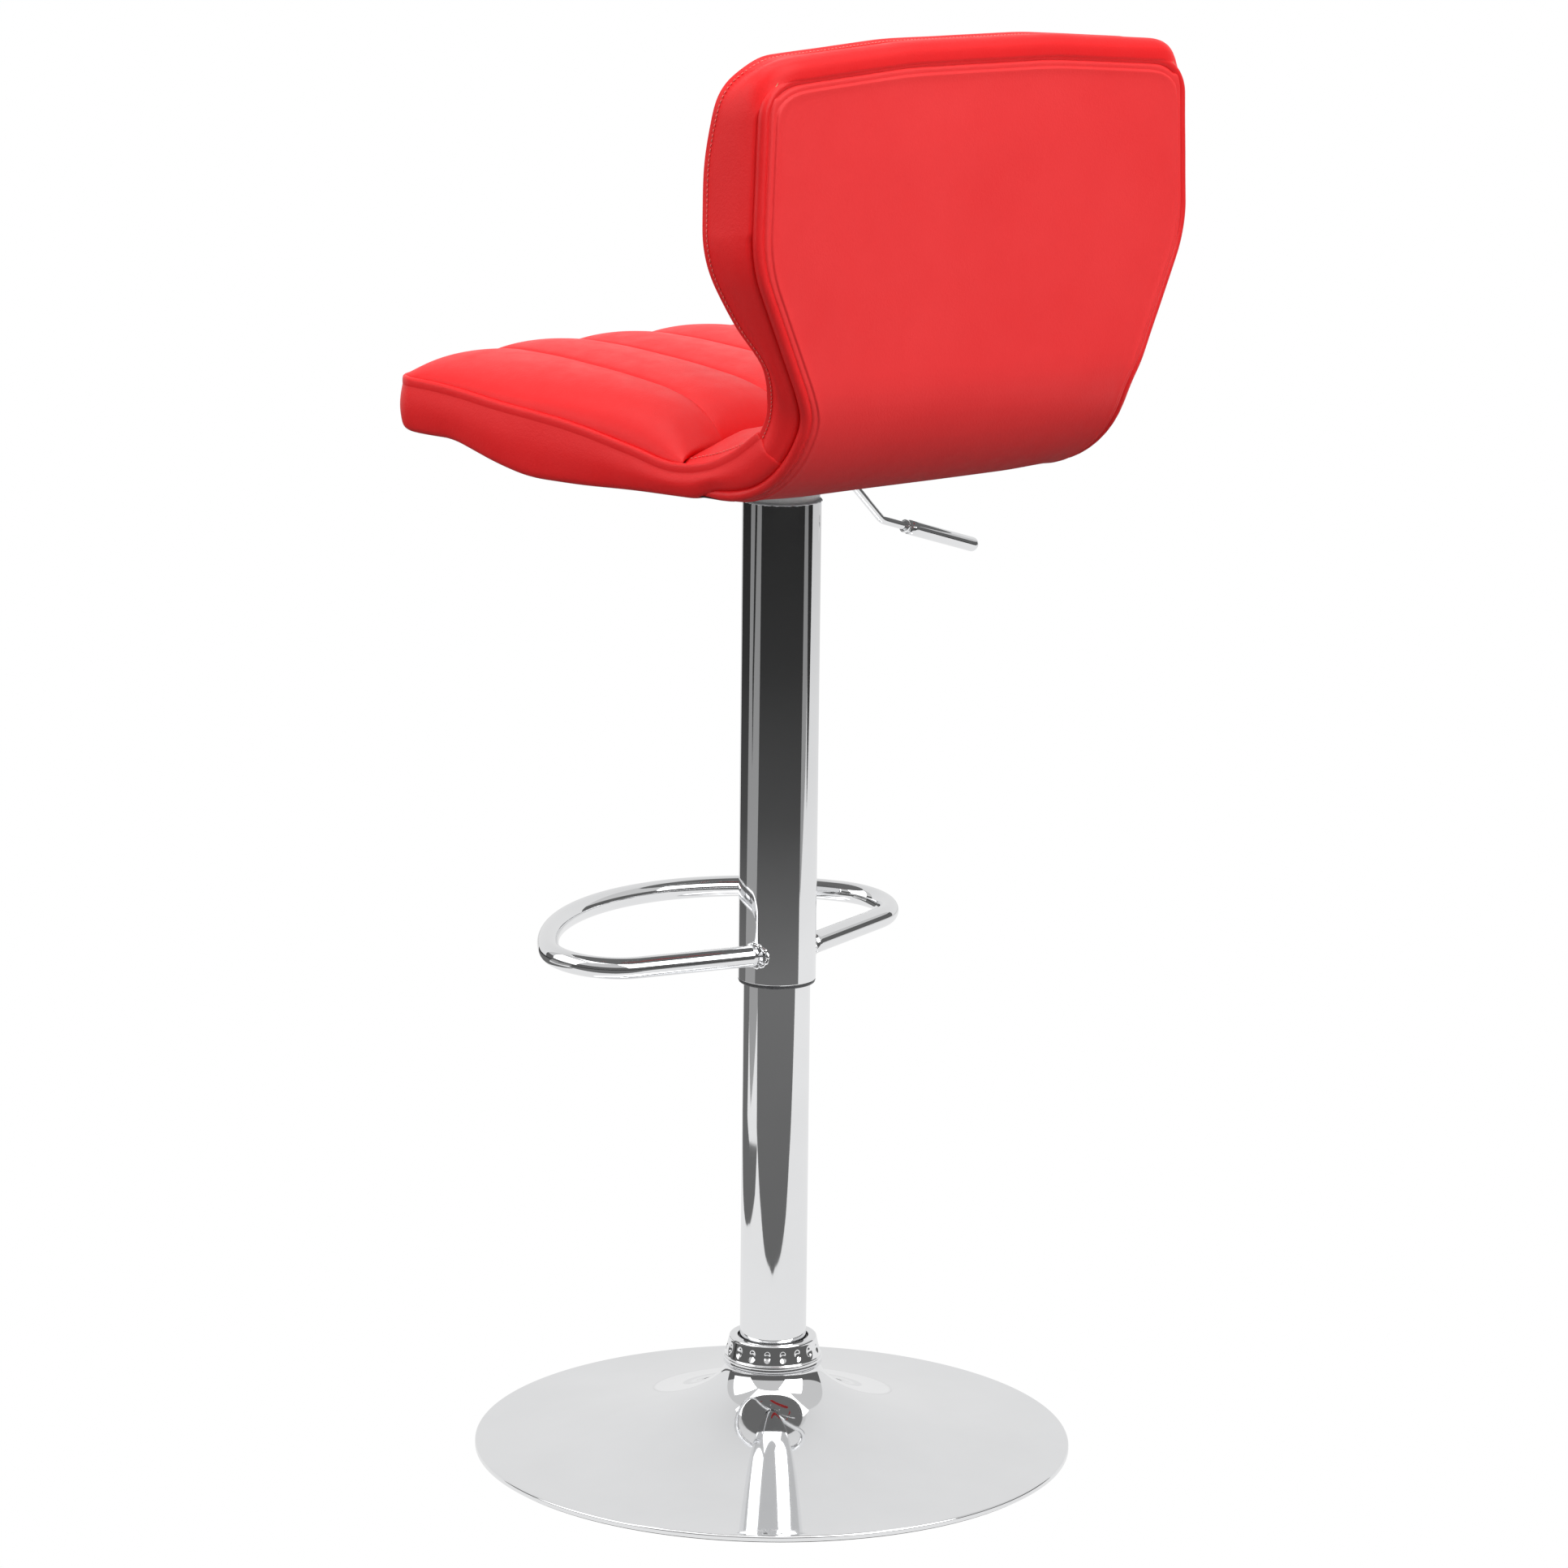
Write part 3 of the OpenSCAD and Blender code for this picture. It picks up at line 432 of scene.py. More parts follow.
def plywood():
    """Veneer with its figure drawn out across the sheet."""
    look = Look("plywood")
    squash = look.node("Mapping", Scale=(18.0, 1.6, 140.0))
    look.links.new(look.place, squash.inputs["Vector"])
    rings = look.noise(3.0, 6.0, 0.65, squash.outputs["Vector"])
    look.ramp(rings, [(0.25, (0.36, 0.22, 0.11)), (0.75, (0.66, 0.47, 0.28))], "Base Color")
    look.ramp(rings, [(0.2, 0.55), (0.8, 0.75)], "Roughness")
    look.bump(rings, 0.6 * MM, 0.3)
    return look.material


looks = {
    "chrome": metal("chrome", (0.90, 0.905, 0.915), 0.035, 0.02),
    "plain_steel": metal("plain_steel", (0.58, 0.585, 0.60), 0.32, 0.12, 0.25),
    "pale_paint": plain("pale_plate", (0.84, 0.84, 0.84), 0.3, 0.05, 300.0, 0.1),
    "black_plastic": plain("grey_moulding", (0.055, 0.056, 0.06), 0.42),
    "bush_plastic": plain("nylon", (0.72, 0.70, 0.64), 0.5),
    "black_paint": plain("black_coat", (0.02, 0.02, 0.021), 0.38, depth=0.35),
    "rubber": plain("rubber", (0.018, 0.018, 0.018), 0.75),
    "dust_fabric": plain("dust_cloth", (0.014, 0.014, 0.015), 0.92, 0.5, 900.0, 0.6),
    "red_vinyl": vinyl("red_vinyl", (0.83, 0.012, 0.014), (0.80, 0.009, 0.011)),
    "plywood": plywood(),
}
looks["vinyl_pad"] = looks["red_vinyl"]
piping_look = vinyl("red_piping", (0.76, 0.016, 0.018), (0.72, 0.012, 0.014), 0.36)
# The rear panel's own copy of the red vinyl, paler and less saturated: painted sheen baked into its colour.
rear_sheen_look = vinyl("red_rear_vinyl_painted_sheen", (0.81, 0.034, 0.036), (0.78, 0.028, 0.030), 0.46)
thread_look = plain("red_thread", (0.90, 0.16, 0.14), 0.55, 0.2, 1500.0, 0.4)

slots = {row["node"]: row["material_slot"] for row in frame["record"]["subparts"]}
for node, obj in frame["nodes"].items():
    obj.data.materials.clear()
    obj.data.materials.append(looks[slots[node]])

# ---------------- base and column


def base_cover():
    """The pressed trumpet cover: flared top, rolled rim that stands on its ring, and the sheet's inside."""
    neck_r, rim_z, sheet = TUBE_R + 11 * MM, 5 * MM, 1.2 * MM
    lip, bead = 1.6 * MM, 1.5 * MM
    turn = np.linspace(0, math.pi / 2, 72)
    radii = BASE_R - bead - (BASE_R - bead - neck_r) * np.sin(turn)
    u, flare = np.clip((BASE_R - radii) / (BASE_R - neck_r), 0, 1), 1.8
    top = list(zip(radii, rim_z + (NECK_Z - rim_z) * (1 - (1 - u**flare) ** (1 / flare))))
    under = [(r - sheet * (1 - math.cos(t)), z - sheet * math.cos(t)) for (r, z), t in zip(top, turn)]
    rim = [(BASE_R - lip, rim_z - sheet), (BASE_R - lip, 1.2 * MM), (BASE_R - 0.8 * lip, 1.0 * MM)]
    rim += [(BASE_R - 0.2 * lip, 1.0 * MM), (BASE_R, 1.2 * MM), (BASE_R, rim_z - 1.3 * bead)]
    rim += [
        (BASE_R - bead * (1 - math.cos(a)), rim_z - bead * (1.0 - math.sin(a)))
        for a in np.linspace(0.05, math.pi / 2 - 0.15, 6)
    ]
    inner = [(TUBE_R + 5 * MM, NECK_Z), (TUBE_R + 5 * MM, NECK_Z - sheet)]
    under = [p for p in under if p[0] < BASE_R - 3 * lip and p[1] < NECK_Z - 2 * sheet]
    profile = rim + top + inner + under[::-1]
    turned_part("base_skin", profile, "base", "chrome", ["base_cover"], 192)


def collar():
    """The collar at the base's neck: a plain band below and a slant with a row of oval dimples above."""
    band, lip, wall, count = 6.3 * MM, 2.0 * MM, 2.2 * MM, 18
    top_r = TUBE_R + 8 * MM
    height = COLLAR_HIGH - COLLAR_LOW
    slant = height - band - lip
    outer = near(COLLAR_R, 0.0, (-0.6, 0.0), (0, 0.5))
    outer += near(COLLAR_R, band, (0, -0.7), (-0.25, -0.2), (-0.9, 0.1))
    rows, slant_start = 18, len(outer)
    start = COLLAR_R - 1.1 * MM
    outer += [(start + (top_r - start) * k / rows, band + 0.3 * MM + (slant - 0.3 * MM) * k / rows)
              for k in range(rows + 1)]
    outer += [(top_r - lip * (1 - math.cos(a)), band + slant + lip * math.sin(a))
              for a in np.linspace(0.2, math.pi / 2, 7)]
    bore = TUBE_R + 1.6 * MM
    inner = [(bore + 0.5 * MM, height), (bore, height - 0.5 * MM), (bore, height - lip)]
    inner += [(top_r - wall, height - lip), (COLLAR_R - wall, band), (COLLAR_R - wall, 0.0)]
    profile = [(r, COLLAR_LOW + z) for r, z in outer + inner]
    dimple_w, dimple_h, depth = 6.4 * MM, 9.0 * MM, 1.1 * MM
    middle = COLLAR_LOW + band + slant / 2

    def dimples(angles, k):
        r, z = profile[k]
        if not slant_start <= k <= slant_start + rows:
            return 0 * angles
        pitch = 2 * math.pi / count
        across = (angles + pitch / 2) % pitch - pitch / 2
        far = np.hypot(across * r / (dimple_w / 2), (z - middle) / (dimple_h / 2))
        return -depth * (1 - ease(far, 0.25, 1.05))

    turned_part("collar_shell", profile, "base", "chrome", ["collar"], 20 * count, dimples)


def pipe(low_z, high_z, outer, wall, bead=0.4 * MM):
    """Closed profile of a tube with its edges broken, with rows along its length."""
    brace = np.array([0, 0.35, 1.2]) * MM
    first, last = low_z + bead, high_z - bead
    rows = np.concatenate([first + brace, np.linspace(first, last, 24)[1:-1], last - brace[::-1]])
    outside = [(outer - bead, low_z)] + [(outer, z) for z in rows] + [(outer - bead, high_z)]
    inside = [(outer - wall, high_z), (outer - wall, low_z)]
    return outside + inside


def column():
    """The two tubes, the crimp and the hub at the sleeve's top, and the ring in its lower end."""
    wall, crimp_in = 1.5 * MM, 1.2 * MM
    turned_part("column_tube", pipe(TUBE_LOW, TUBE_HIGH, TUBE_R, wall), "base", "chrome", ["lower_tube"])
    turned_part("column_sleeve", pipe(SLEEVE_LOW, SLEEVE_HIGH - crimp_in, SLEEVE_R, wall), "seat", "chrome",
                ["sleeve"])
    # The sleeve's crimped upper edge, rough and bright
    r, z, size = SLEEVE_R - crimp_in, SLEEVE_HIGH - crimp_in, 1.7 * MM
    around = np.arange(12) * 2 * math.pi / 12
    ring = [(r + size * math.cos(a), z + 0.7 * size * math.sin(a)) for a in around]

    def crimp(angles, k):
        lump = np.sin(37 * angles + 1.3 * k) + np.sin(61 * angles - 2.1 * k) + np.sin(23 * angles + 4)
        return 0.22 * MM * lump

    turned_part("sleeve_crimp", ring, "seat", "chrome", (), 240, crimp, looks["plain_steel"])
    # The pressed hub that widens from the sleeve to the seat plate
    top, hub_r = high("plate_hub", 2), high("plate_hub", 0)
    rise, bore = top - SLEEVE_HIGH, 15 * MM
    hub = [(SLEEVE_R - 1.6 * MM, SLEEVE_HIGH - 1.5 * MM), (SLEEVE_R - 0.5 * MM, SLEEVE_HIGH + 0.2 * rise)]
    hub += [(SLEEVE_R + 1.2 * MM, SLEEVE_HIGH + 0.5 * rise), (hub_r - 1 * MM, top - 2 * MM), (hub_r, top)]
    hub += [(hub_r - wall, top), (SLEEVE_R - 4 * MM, SLEEVE_HIGH + 2 * MM), (bore, SLEEVE_HIGH + 2 * MM)]
    hub += [(bore, SLEEVE_HIGH - 1.5 * MM)]
    turned_part("hub", hub, "seat", "pale_paint", ["plate_hub"], 96)
    # The dark ring that guides the sleeve's lower end
    ring_low, lip = low("sleeve_bottom_ring", 2), 2.6 * MM
    inner, inside = TUBE_R + 0.12 * MM, SLEEVE_R - wall - 0.1 * MM
    profile = near(SLEEVE_R, ring_low, (-1.1, 0), (-0.6, 0.4))
    profile += near(SLEEVE_R, ring_low + lip, (-0.1, -0.5), (-0.3, 0))
    profile += [(inside, ring_low + lip), (inside, ring_low + 6 * lip), (inner, ring_low + 6 * lip)]
    profile += [(inner, ring_low)]
    turned_part("wiper_ring", profile, "seat", "black_plastic", ["sleeve_bottom_ring"])


FOOT_R = 8 * MM
FOOT_TILT = math.radians(3.9)
FOOT_SWEEP = math.radians(14)
FOOT_Z = SLEEVE_LOW + 22.5 * MM


def foot_point(x, y):
    """A point of the footrest's tilted plane."""
    return np.array([x, y * math.cos(FOOT_TILT), FOOT_Z - y * math.sin(FOOT_TILT)])


def footrest():
    """The ring: two arms swept forward, two side bends round (x0, y0) and one long front arc."""
    half, reach = high("footrest_ring", 0), 173 * MM
    bend, arm_y = 45.5 * MM, 13.4 * MM
    x0 = half - FOOT_R - bend
    y0 = arm_y - x0 * math.tan(FOOT_SWEEP) - bend / math.cos(FOOT_SWEEP)
    # The front arc goes through the ring's front and runs smoothly into both bends
    depth = y0 + reach - FOOT_R
    arc = (x0**2 + depth**2 - bend**2) / (2 * (depth - bend))
    arc_y = arc - reach + FOOT_R
    turn = math.atan2(y0 - arc_y, x0)
    arm = [(x, arm_y - x * math.tan(FOOT_SWEEP))
           for x in np.linspace(SLEEVE_R * 0.9, x0 + bend * math.sin(FOOT_SWEEP), 14)]
    first = math.pi / 2 - FOOT_SWEEP
    side = [(x0 + bend * math.cos(a), y0 + bend * math.sin(a)) for a in np.linspace(first, turn, 26)[1:]]
    front = [(arc * math.cos(a), arc_y + arc * math.sin(a)) for a in np.linspace(turn, -math.pi / 2, 30)[1:]]
    right = np.array([foot_point(x, y) for x, y in arm + side + front])
    new_object("footrest_tube", *swept(mirrored(right), FOOT_R, 40, (0, 0, 1)), "seat", "chrome",
               ["footrest_ring"])
    # A weld bead on each side, where the arm's surface leaves the sleeve's
    weld_points, weld_faces = [], []
    steps, bead_r = np.arange(72), FOOT_R * 1.04
    for sign in (1, -1):
        ring = []
        for a in steps * 2 * math.pi / len(steps):
            x = SLEEVE_R
            for _ in range(6):
                y = arm_y - x * math.tan(FOOT_SWEEP) + bead_r * math.cos(a) / math.cos(FOOT_SWEEP)
                x = math.sqrt(max(SLEEVE_R**2 - y * y, 1e-8))
            place = foot_point(x, y)
            ring.append((sign * place[0], place[1], place[2] + bead_r * math.sin(a)))
        size = (1.5 + 0.35 * np.sin(steps * 2 * math.pi / 6) + 0.2 * np.sin(steps * 1.9 + sign)) * MM
        points, faces = swept(ring, size, 10, (sign, 0, 0), closed=True)
        start = sum(len(p) for p in weld_points)
        weld_points.append(points)
        weld_faces += [tuple(start + i for i in f) for f in faces]
    new_object("footrest_beads", np.concatenate(weld_points), weld_faces, "seat", "chrome",
               ["footrest_welds"])


def lever():
    """A bent rod with a turned grip: a stepped ring at its inner end and a rounded tip."""
    rod_r, grip_r, grip_len, slope = 3 * MM, 5.5 * MM, 80 * MM, math.radians(16.4)
    tip_x = -202 * MM
    pivot_z = (low("lever_block", 2) + high("lever_block", 2)) / 2
    knee_x, elbow_x = -55 * MM, -102.5 * MM
    elbow_z = pivot_z - (knee_x - elbow_x) * math.tan(math.radians(44))
    tip_z = elbow_z - (elbow_x - tip_x) * math.tan(slope)
    inner_x = tip_x + 13 * MM
    line = resampled(rounded([
        (-45 * MM, pivot_z),
        (knee_x, pivot_z, 12 * MM),
        (elbow_x, elbow_z, 14 * MM),
        (inner_x, elbow_z - (elbow_x - inner_x) * math.tan(slope)),
    ]), 90)
    line = np.stack([line[:, 0], 0 * line[:, 0], line[:, 1]], 1)
    new_object("lever_bar", *swept(line, rod_r, 28, (0, 1, 0)), "lever", "chrome", ["lever_rod"])
    tip_r = 4.5 * MM
    profile = [(grip_r - tip_r * (1 - math.sin(a)), tip_r * (1 - math.cos(a)))
               for a in np.linspace(0.06, math.pi / 2, 12)]
    profile += [(grip_r, z) for z in np.linspace(8 * MM, grip_len - 5.6 * MM, 10)]
    profile += near(grip_r, grip_len, (-0.5, -5), (-1.4, -4.8), (-1.4, -3.4), (-0.6, -3.1), (-0.6, -0.5),
                    (-1.1, 0))
    profile += [(rod_r, grip_len), (rod_r, 12 * MM), (0.2 * MM, 12 * MM)]
    points, faces = lathe(profile, 64)
    # The profile's height becomes the way from the tip back towards the rod
    back = np.array([math.cos(slope), 0, math.sin(slope)])
    up = np.array([-math.sin(slope), 0, math.cos(slope)])
    side = np.array([0, 1.0, 0])
    points = np.array([tip_x, 0, tip_z]) + points[:, :1] * up + points[:, 1:2] * side + points[:, 2:] * back
    new_object("lever_handle", points, faces, "lever", "chrome", ["lever_grip"])


base_cover()
collar()
column()
footrest()
lever()

# ---------------- upholstery


def row_normals(points, rows, cols):
    """Outward normals of a rows x cols grid of points whose faces turn outward."""
    grid = points.reshape(rows, cols, 3)
    n = np.cross(np.gradient(grid, axis=1), np.gradient(grid, axis=0))
    return (n / np.maximum(np.linalg.norm(n, axis=2), 1e-9)[:, :, None]).reshape(-1, 3)


# Each column of a pad's points: the channel that it lies in, and how far across it, closer by the grooves
CHANNELS, CHANNEL_CELLS = 5, 12
COLS = CHANNELS * CHANNEL_CELLS + 1
fraction = (1 - np.cos(np.linspace(0, math.pi, CHANNEL_CELLS + 1))) / 2
channel = np.minimum(np.arange(COLS) // CHANNEL_CELLS, CHANNELS - 1)
within = np.append(np.tile(fraction[:-1], CHANNELS), 1.0)
seam_columns = np.arange(0, COLS, CHANNEL_CELLS)


def across(edge):
    """Places of the columns across a pad whose half width is edge."""
    marks = np.array([-edge, -GROOVES[1], -GROOVES[0], GROOVES[0], GROOVES[1], edge])
    return marks[channel] + (marks[channel + 1] - marks[channel]) * within


def outward(x, edge):
    """0 up to the outer grooves, and 1 at the pad's edge."""
    return np.clip((np.abs(x) - GROOVES[1]) / (edge - GROOVES[1]), 0, 1)


def roll(out):
    """Height of an outer channel's section from its groove, at 0, to its outer seam, at 1."""
    return (1 - out**2.5) ** 0.55


def crown(height):
    """How far each column is puffed out between its channel's grooves."""
    return height * np.sin(math.pi * within) ** 0.6


def inflate(piece, free, pressure=2.0, slack=0.012, cap=5 * MM):
    """Cloth simulation of a pad under pressure. Points that aren't free stay; none moves over cap."""
    before = np.array([v.co for v in piece.data.vertices])
    piece.vertex_groups.new(name="sewn").add(np.nonzero(~free)[0].tolist(), 1.0, "REPLACE")
    cloth = piece.modifiers.new("filling", "CLOTH")
    for setting, value in dict(
        quality=7, mass=0.25, tension_stiffness=25, compression_stiffness=25, shear_stiffness=12,
        bending_stiffness=0.8, tension_damping=12, compression_damping=12, vertex_group_mass="sewn",
        shrink_min=-slack, use_pressure=True, uniform_pressure_force=pressure,
    ).items():
        setattr(cloth.settings, setting, value)
    cloth.settings.effector_weights.gravity = 0
    cloth.collision_settings.use_collision = False
    frames = 20
    cloth.point_cache.frame_start, cloth.point_cache.frame_end = 1, frames
    for k in range(1, frames + 1):
        scene.frame_set(k)
    shape = piece.evaluated_get(bpy.context.evaluated_depsgraph_get()).to_mesh()
    after = np.array([v.co for v in shape.vertices])
    piece.modifiers.remove(cloth)
    scene.frame_set(1)
    move = after - before
    far = np.linalg.norm(move, axis=1)
    move *= np.minimum(1, cap / np.maximum(far, 1e-9))[:, None]
    move[~free] = 0
    piece.data.vertices.foreach_set("co", (before + move).ravel())
    piece.data.update()


def draw_in(piece, rows, axis, depth):
    """Pull the sewn grooves between a pad's channels inwards."""
    for r in range(2, rows - 2):
        fade = min(1, (r - 1) / 4, (rows - 2 - r) / 4)
        for c in seam_columns[1:-1]:
            piece.data.vertices[r * COLS + c].co[axis] += depth * fade


def subdivide(piece):
    """Smooth a piece's surface by one level of subdivision."""
    smoother = piece.modifiers.new("smooth", "SUBSURF")
    smoother.levels = smoother.render_levels = 1


def thicken(piece, thickness):
    """Give a sheet its thickness, inwards from the side that shows."""
    solid = piece.modifiers.new("sheet", "SOLIDIFY")
    solid.thickness, solid.offset = thickness, -1


def pillow(name, top, under, rows, replaced):
    """A closed pad: a grid of top points, a grid of under points and a wall round their edges.

    It comes with a mask of the points that the filling may move: those between the seams on top.
    """
    count = rows * COLS
    faces = grid_faces(rows, COLS) + grid_faces(rows, COLS, count, flip=True)
    number = np.arange(count).reshape(rows, COLS)
    rim = np.concatenate([number[0], number[1:, -1], number[-1, -2::-1], number[-2:0:-1, 0]]).tolist()
    for a, b in zip(rim, rim[1:] + rim[:1]):
        faces.append((a, a + count, b + count, b))
    points = np.concatenate([top, under])
    piece = new_object(name, points, faces, "seat", "red_vinyl", replaced)
    free = np.zeros((2 * rows, COLS), bool)
    free[1:rows - 1] = True
    free[:, seam_columns] = False
    return piece, free.ravel()


def seat_pad():
    """The seat's cushion: each row runs across, bowed from its side seams to its middle line."""
    v = np.linspace(0, 1, SEAT_ROWS)
    v = v - 0.06 * np.sin(2 * math.pi * v)
    front_in = 8 * MM
    side_y = (-SEAT_FRONT + front_in) + (CREASE_Y + SEAT_FRONT - front_in) * v
    mid_y = (-SEAT_FRONT + PAD_INSET) + (57 * MM + SEAT_FRONT - PAD_INSET) * v
    side_x = seat_half(np.maximum(side_y, -SEAT_FRONT + 30 * MM)) - PAD_INSET
    side_x -= (front_in - PAD_INSET) * (1 - ease(side_y, -SEAT_FRONT, -SEAT_FRONT + 34 * MM))
    side_z = seat_seam_z(side_y)
    keys = np.array([-211, -209, -205, -199, -190, -176, -140, -85, -30, 3, 24, 40, 53, 58]) * MM
    rise = np.array([58.5, 62.5, 67, 70.5, 73, 74.8, 75.2, 72.3, 67.3, 62.5, 56.5, 47.5, 35, 28]) * MM
    mid_z = UNDER_Z + smooth(keys, rise, mid_y)
    points = []
    for k in range(SEAT_ROWS):
        x = across(side_x[k])
        out = outward(x, side_x[k])
        y = mid_y[k] + (side_y[k] - mid_y[k]) * out**1.6
        z = side_z[k] + (mid_z[k] - side_z[k]) * roll(out)
        puff = ease(v[k], 0.0, 0.07) * (0.35 + 0.65 * ease(1 - v[k], 0.0, 0.10))
        z = z + crown(4.6 * MM) * puff * np.where(out > 0, 0.45, 1.0)
        points.append(np.stack([x, y, z], 1))
    top = np.concatenate(points)
    under = top.copy()
    under[:, 0] *= 0.985
    under[:, 1] = np.clip(under[:, 1], -SEAT_FRONT + 9 * MM, 60 * MM)
    under[:, 2] = under_z(under[:, 1], SHELL_IN)
    return pillow("seat_pad", top, under, SEAT_ROWS, ["seat_cushion"])


def back_pad():
    """The back's cushion, from the crease up: each row is bowed from its side seams to the middle line."""
    rows, cols = BACK_ROWS, COLS
    # The seam on its right side, from the crease up to the middle of the top corner
    corner_z = back_outline[back_corner][1]
    y = np.linspace(CREASE_Y, SEAT_STRIP_END - 2 * MM, 40)
    lower = np.stack([seat_half(y), y, seat_seam_z(y)], 1)
    z = np.linspace(BEND_TOP, corner_z, 120)
    upper = np.stack([back_half(z), back_seam_y(z), z], 1)
    side = np.concatenate([resampled(lower, BACK_FOOT_ROWS), resampled(upper, BACK_UPRIGHT_ROWS + 1)[1:]])
    side[:, 0] -= PAD_INSET
    middle = rounded([
        *near(0, UNDER_Z, (58, 28), (72, 42, 12), (138, 57, 26), (157, 96, 40), (131, 190, 140),
              (132, 308, 30)),
        (167 * MM, BACK_TOP - 1.5 * MM),
    ])
    split = int(np.argmin(np.abs(middle - (141 * MM, UNDER_Z + 61 * MM)).sum(axis=1)))
    middle = np.concatenate([resampled(middle[: split + 1], BACK_FOOT_ROWS),
                             resampled(middle[split:], BACK_UPRIGHT_ROWS + 1)[1:]])
    points = []
    for k in range(rows):
        x = across(side[k, 0])
        out = outward(x, side[k, 0])
        bow = 2.0 * MM * np.minimum(np.abs(x) / GROOVES[1], 1) ** 2
        y = side[k, 1] + (middle[k, 0] + bow - side[k, 1]) * roll(out)
        along_top = np.clip((back_top(x) - corner_z) / (BACK_TOP - corner_z), 0, 1)
        near_top = ease(middle[k, 1], BACK_TOP - 90 * MM, BACK_TOP - 6 * MM)
        share = (1 - out**1.6) * (1 - near_top) + along_top * near_top
        z = side[k, 2] + (middle[k, 1] - side[k, 2]) * share
        points.append(np.stack([x, y, z], 1))
    top = np.concatenate(points)
    normals = -row_normals(top, rows, cols)
    v = np.repeat(np.arange(rows) / (rows - 1), cols)
    puff = np.tile(crown(5.0 * MM), rows) * ease(1 - v, 0, 0.05) * ease(v, 0, 0.06)
    puff *= np.where(np.abs(top[:, 0]) > GROOVES[1], 0.45, 1.0)
    top = top + normals * puff[:, None]
    top[:, 2] = np.minimum(top[:, 2], back_top(top[:, 0]) - 1.5 * MM)
    shell = face_line(SHELL_IN, 400)
    shell = resampled(shell[np.argmax(shell[:, 0] > 74 * MM):], rows)
    under = top.copy()
    for k in range(rows):
        y, z = shell[k]
        z = min(z, BACK_TOP - 8 * MM)
        limit = back_half(z) - 6 * MM
        part = slice(k * cols, (k + 1) * cols)
        under[part, 0] = np.clip(under[part, 0], -limit, limit)
        under[part, 1], under[part, 2] = y, z
    piece, free = pillow("back_pad", top, under, rows, ["back_cushion"])
    piece.data.flip_normals()
    return piece, free


# A side strip's seam: distances from it in mm, and how far inside the strip's surface each row lies
SEAM_ROWS = [(2.2, 5.0), (0.7, 3.2), (0.0, 1.5), (0.15, 0.55), (0.9, 0.1), (2.2, 0.0), (3.8, 0.0),
             (4.8, 0.05), (5.5, 0.2), (6.2, 0.05), (7.2, -0.1)]
# The stitches' distance from the seam, in mm, and their height over the surface
STITCH_AT = 5.5
STITCH_OUT = 0.5 * MM


def band_section(width, tuck, bulge, top=0.0):
    """(fraction across, inset) pairs of a side strip: lipped seam, stitched row, crown and tucked edge."""
    rows = [(d * MM / width, i * MM) for d, i in SEAM_ROWS]
    first, last = rows[-1][0], 1 - 4.5 * MM / width
    for t in np.linspace(0, 1, 9)[1:-1]:
        swell = bulge * math.sin(math.pi * t ** (1 + 0.6 * top))
        rows.append((first + (last - first) * t, -0.15 * MM - swell))
    rows += [(1 - d * MM / width, i * MM * (1 - 0.6 * top)) for d, i in tuck]
    return rows


def band(name, start, end, normals, tuck, bulge, node):
    """A side strip between two lines of points, with its crown along the normals."""
    width = np.linalg.norm(end - start, axis=1)
    count = len(band_section(0.04, tuck, 0.0))
    grid = np.zeros((len(start), count, 3))
    for i, (a, b, n, w) in enumerate(zip(start, end, normals, width)):
        for j, (t, inset) in enumerate(band_section(w, tuck, bulge[i], max(n[2], 0))):
            grid[i, j] = a + (b - a) * t - n * inset
            grid[i, j, 1] += 6 * MM * max(n[2], 0) ** 0.5 * math.sin(math.pi * min(t, 1) ** 3)
    uneven = 0.35 * MM * ripples(grid[:, :, 1] + grid[:, :, 0], grid[:, :, 2], 0.07, 3)
    grid += normals[:, None, :] * (uneven * np.linspace(0, 1, count) ** 0.5)[:, :, None]
    # Both ends turn under, so that they tuck in where the strips overlap
    ends = []
    for a, b, n in ((0, 1, normals[0]), (-1, -2, normals[-1])):
        along = grid[a] - grid[b]
        along /= np.linalg.norm(along, axis=1)[:, None]
        ends.append([grid[a] + along * 0.7 * MM - n * 0.25 * MM, grid[a] + along * 1.4 * MM - n * 2.6 * MM])
    points = np.concatenate([ends[0][1], ends[0][0], grid.reshape(-1, 3), ends[1][0], ends[1][1]])
    piece = new_object(name, points, grid_faces(len(start) + 4, count), "seat", "red_vinyl", [node])
    thicken(piece, 1.1 * MM)
    subdivide(piece)
    return grid


def flat_normals(path):
    """Unit normals on the right of a 2-D path's direction."""
    d = np.gradient(path, axis=0)
    n = np.stack([d[:, 1], -d[:, 0]], 1)
    return n / np.linalg.norm(n, axis=1)[:, None]


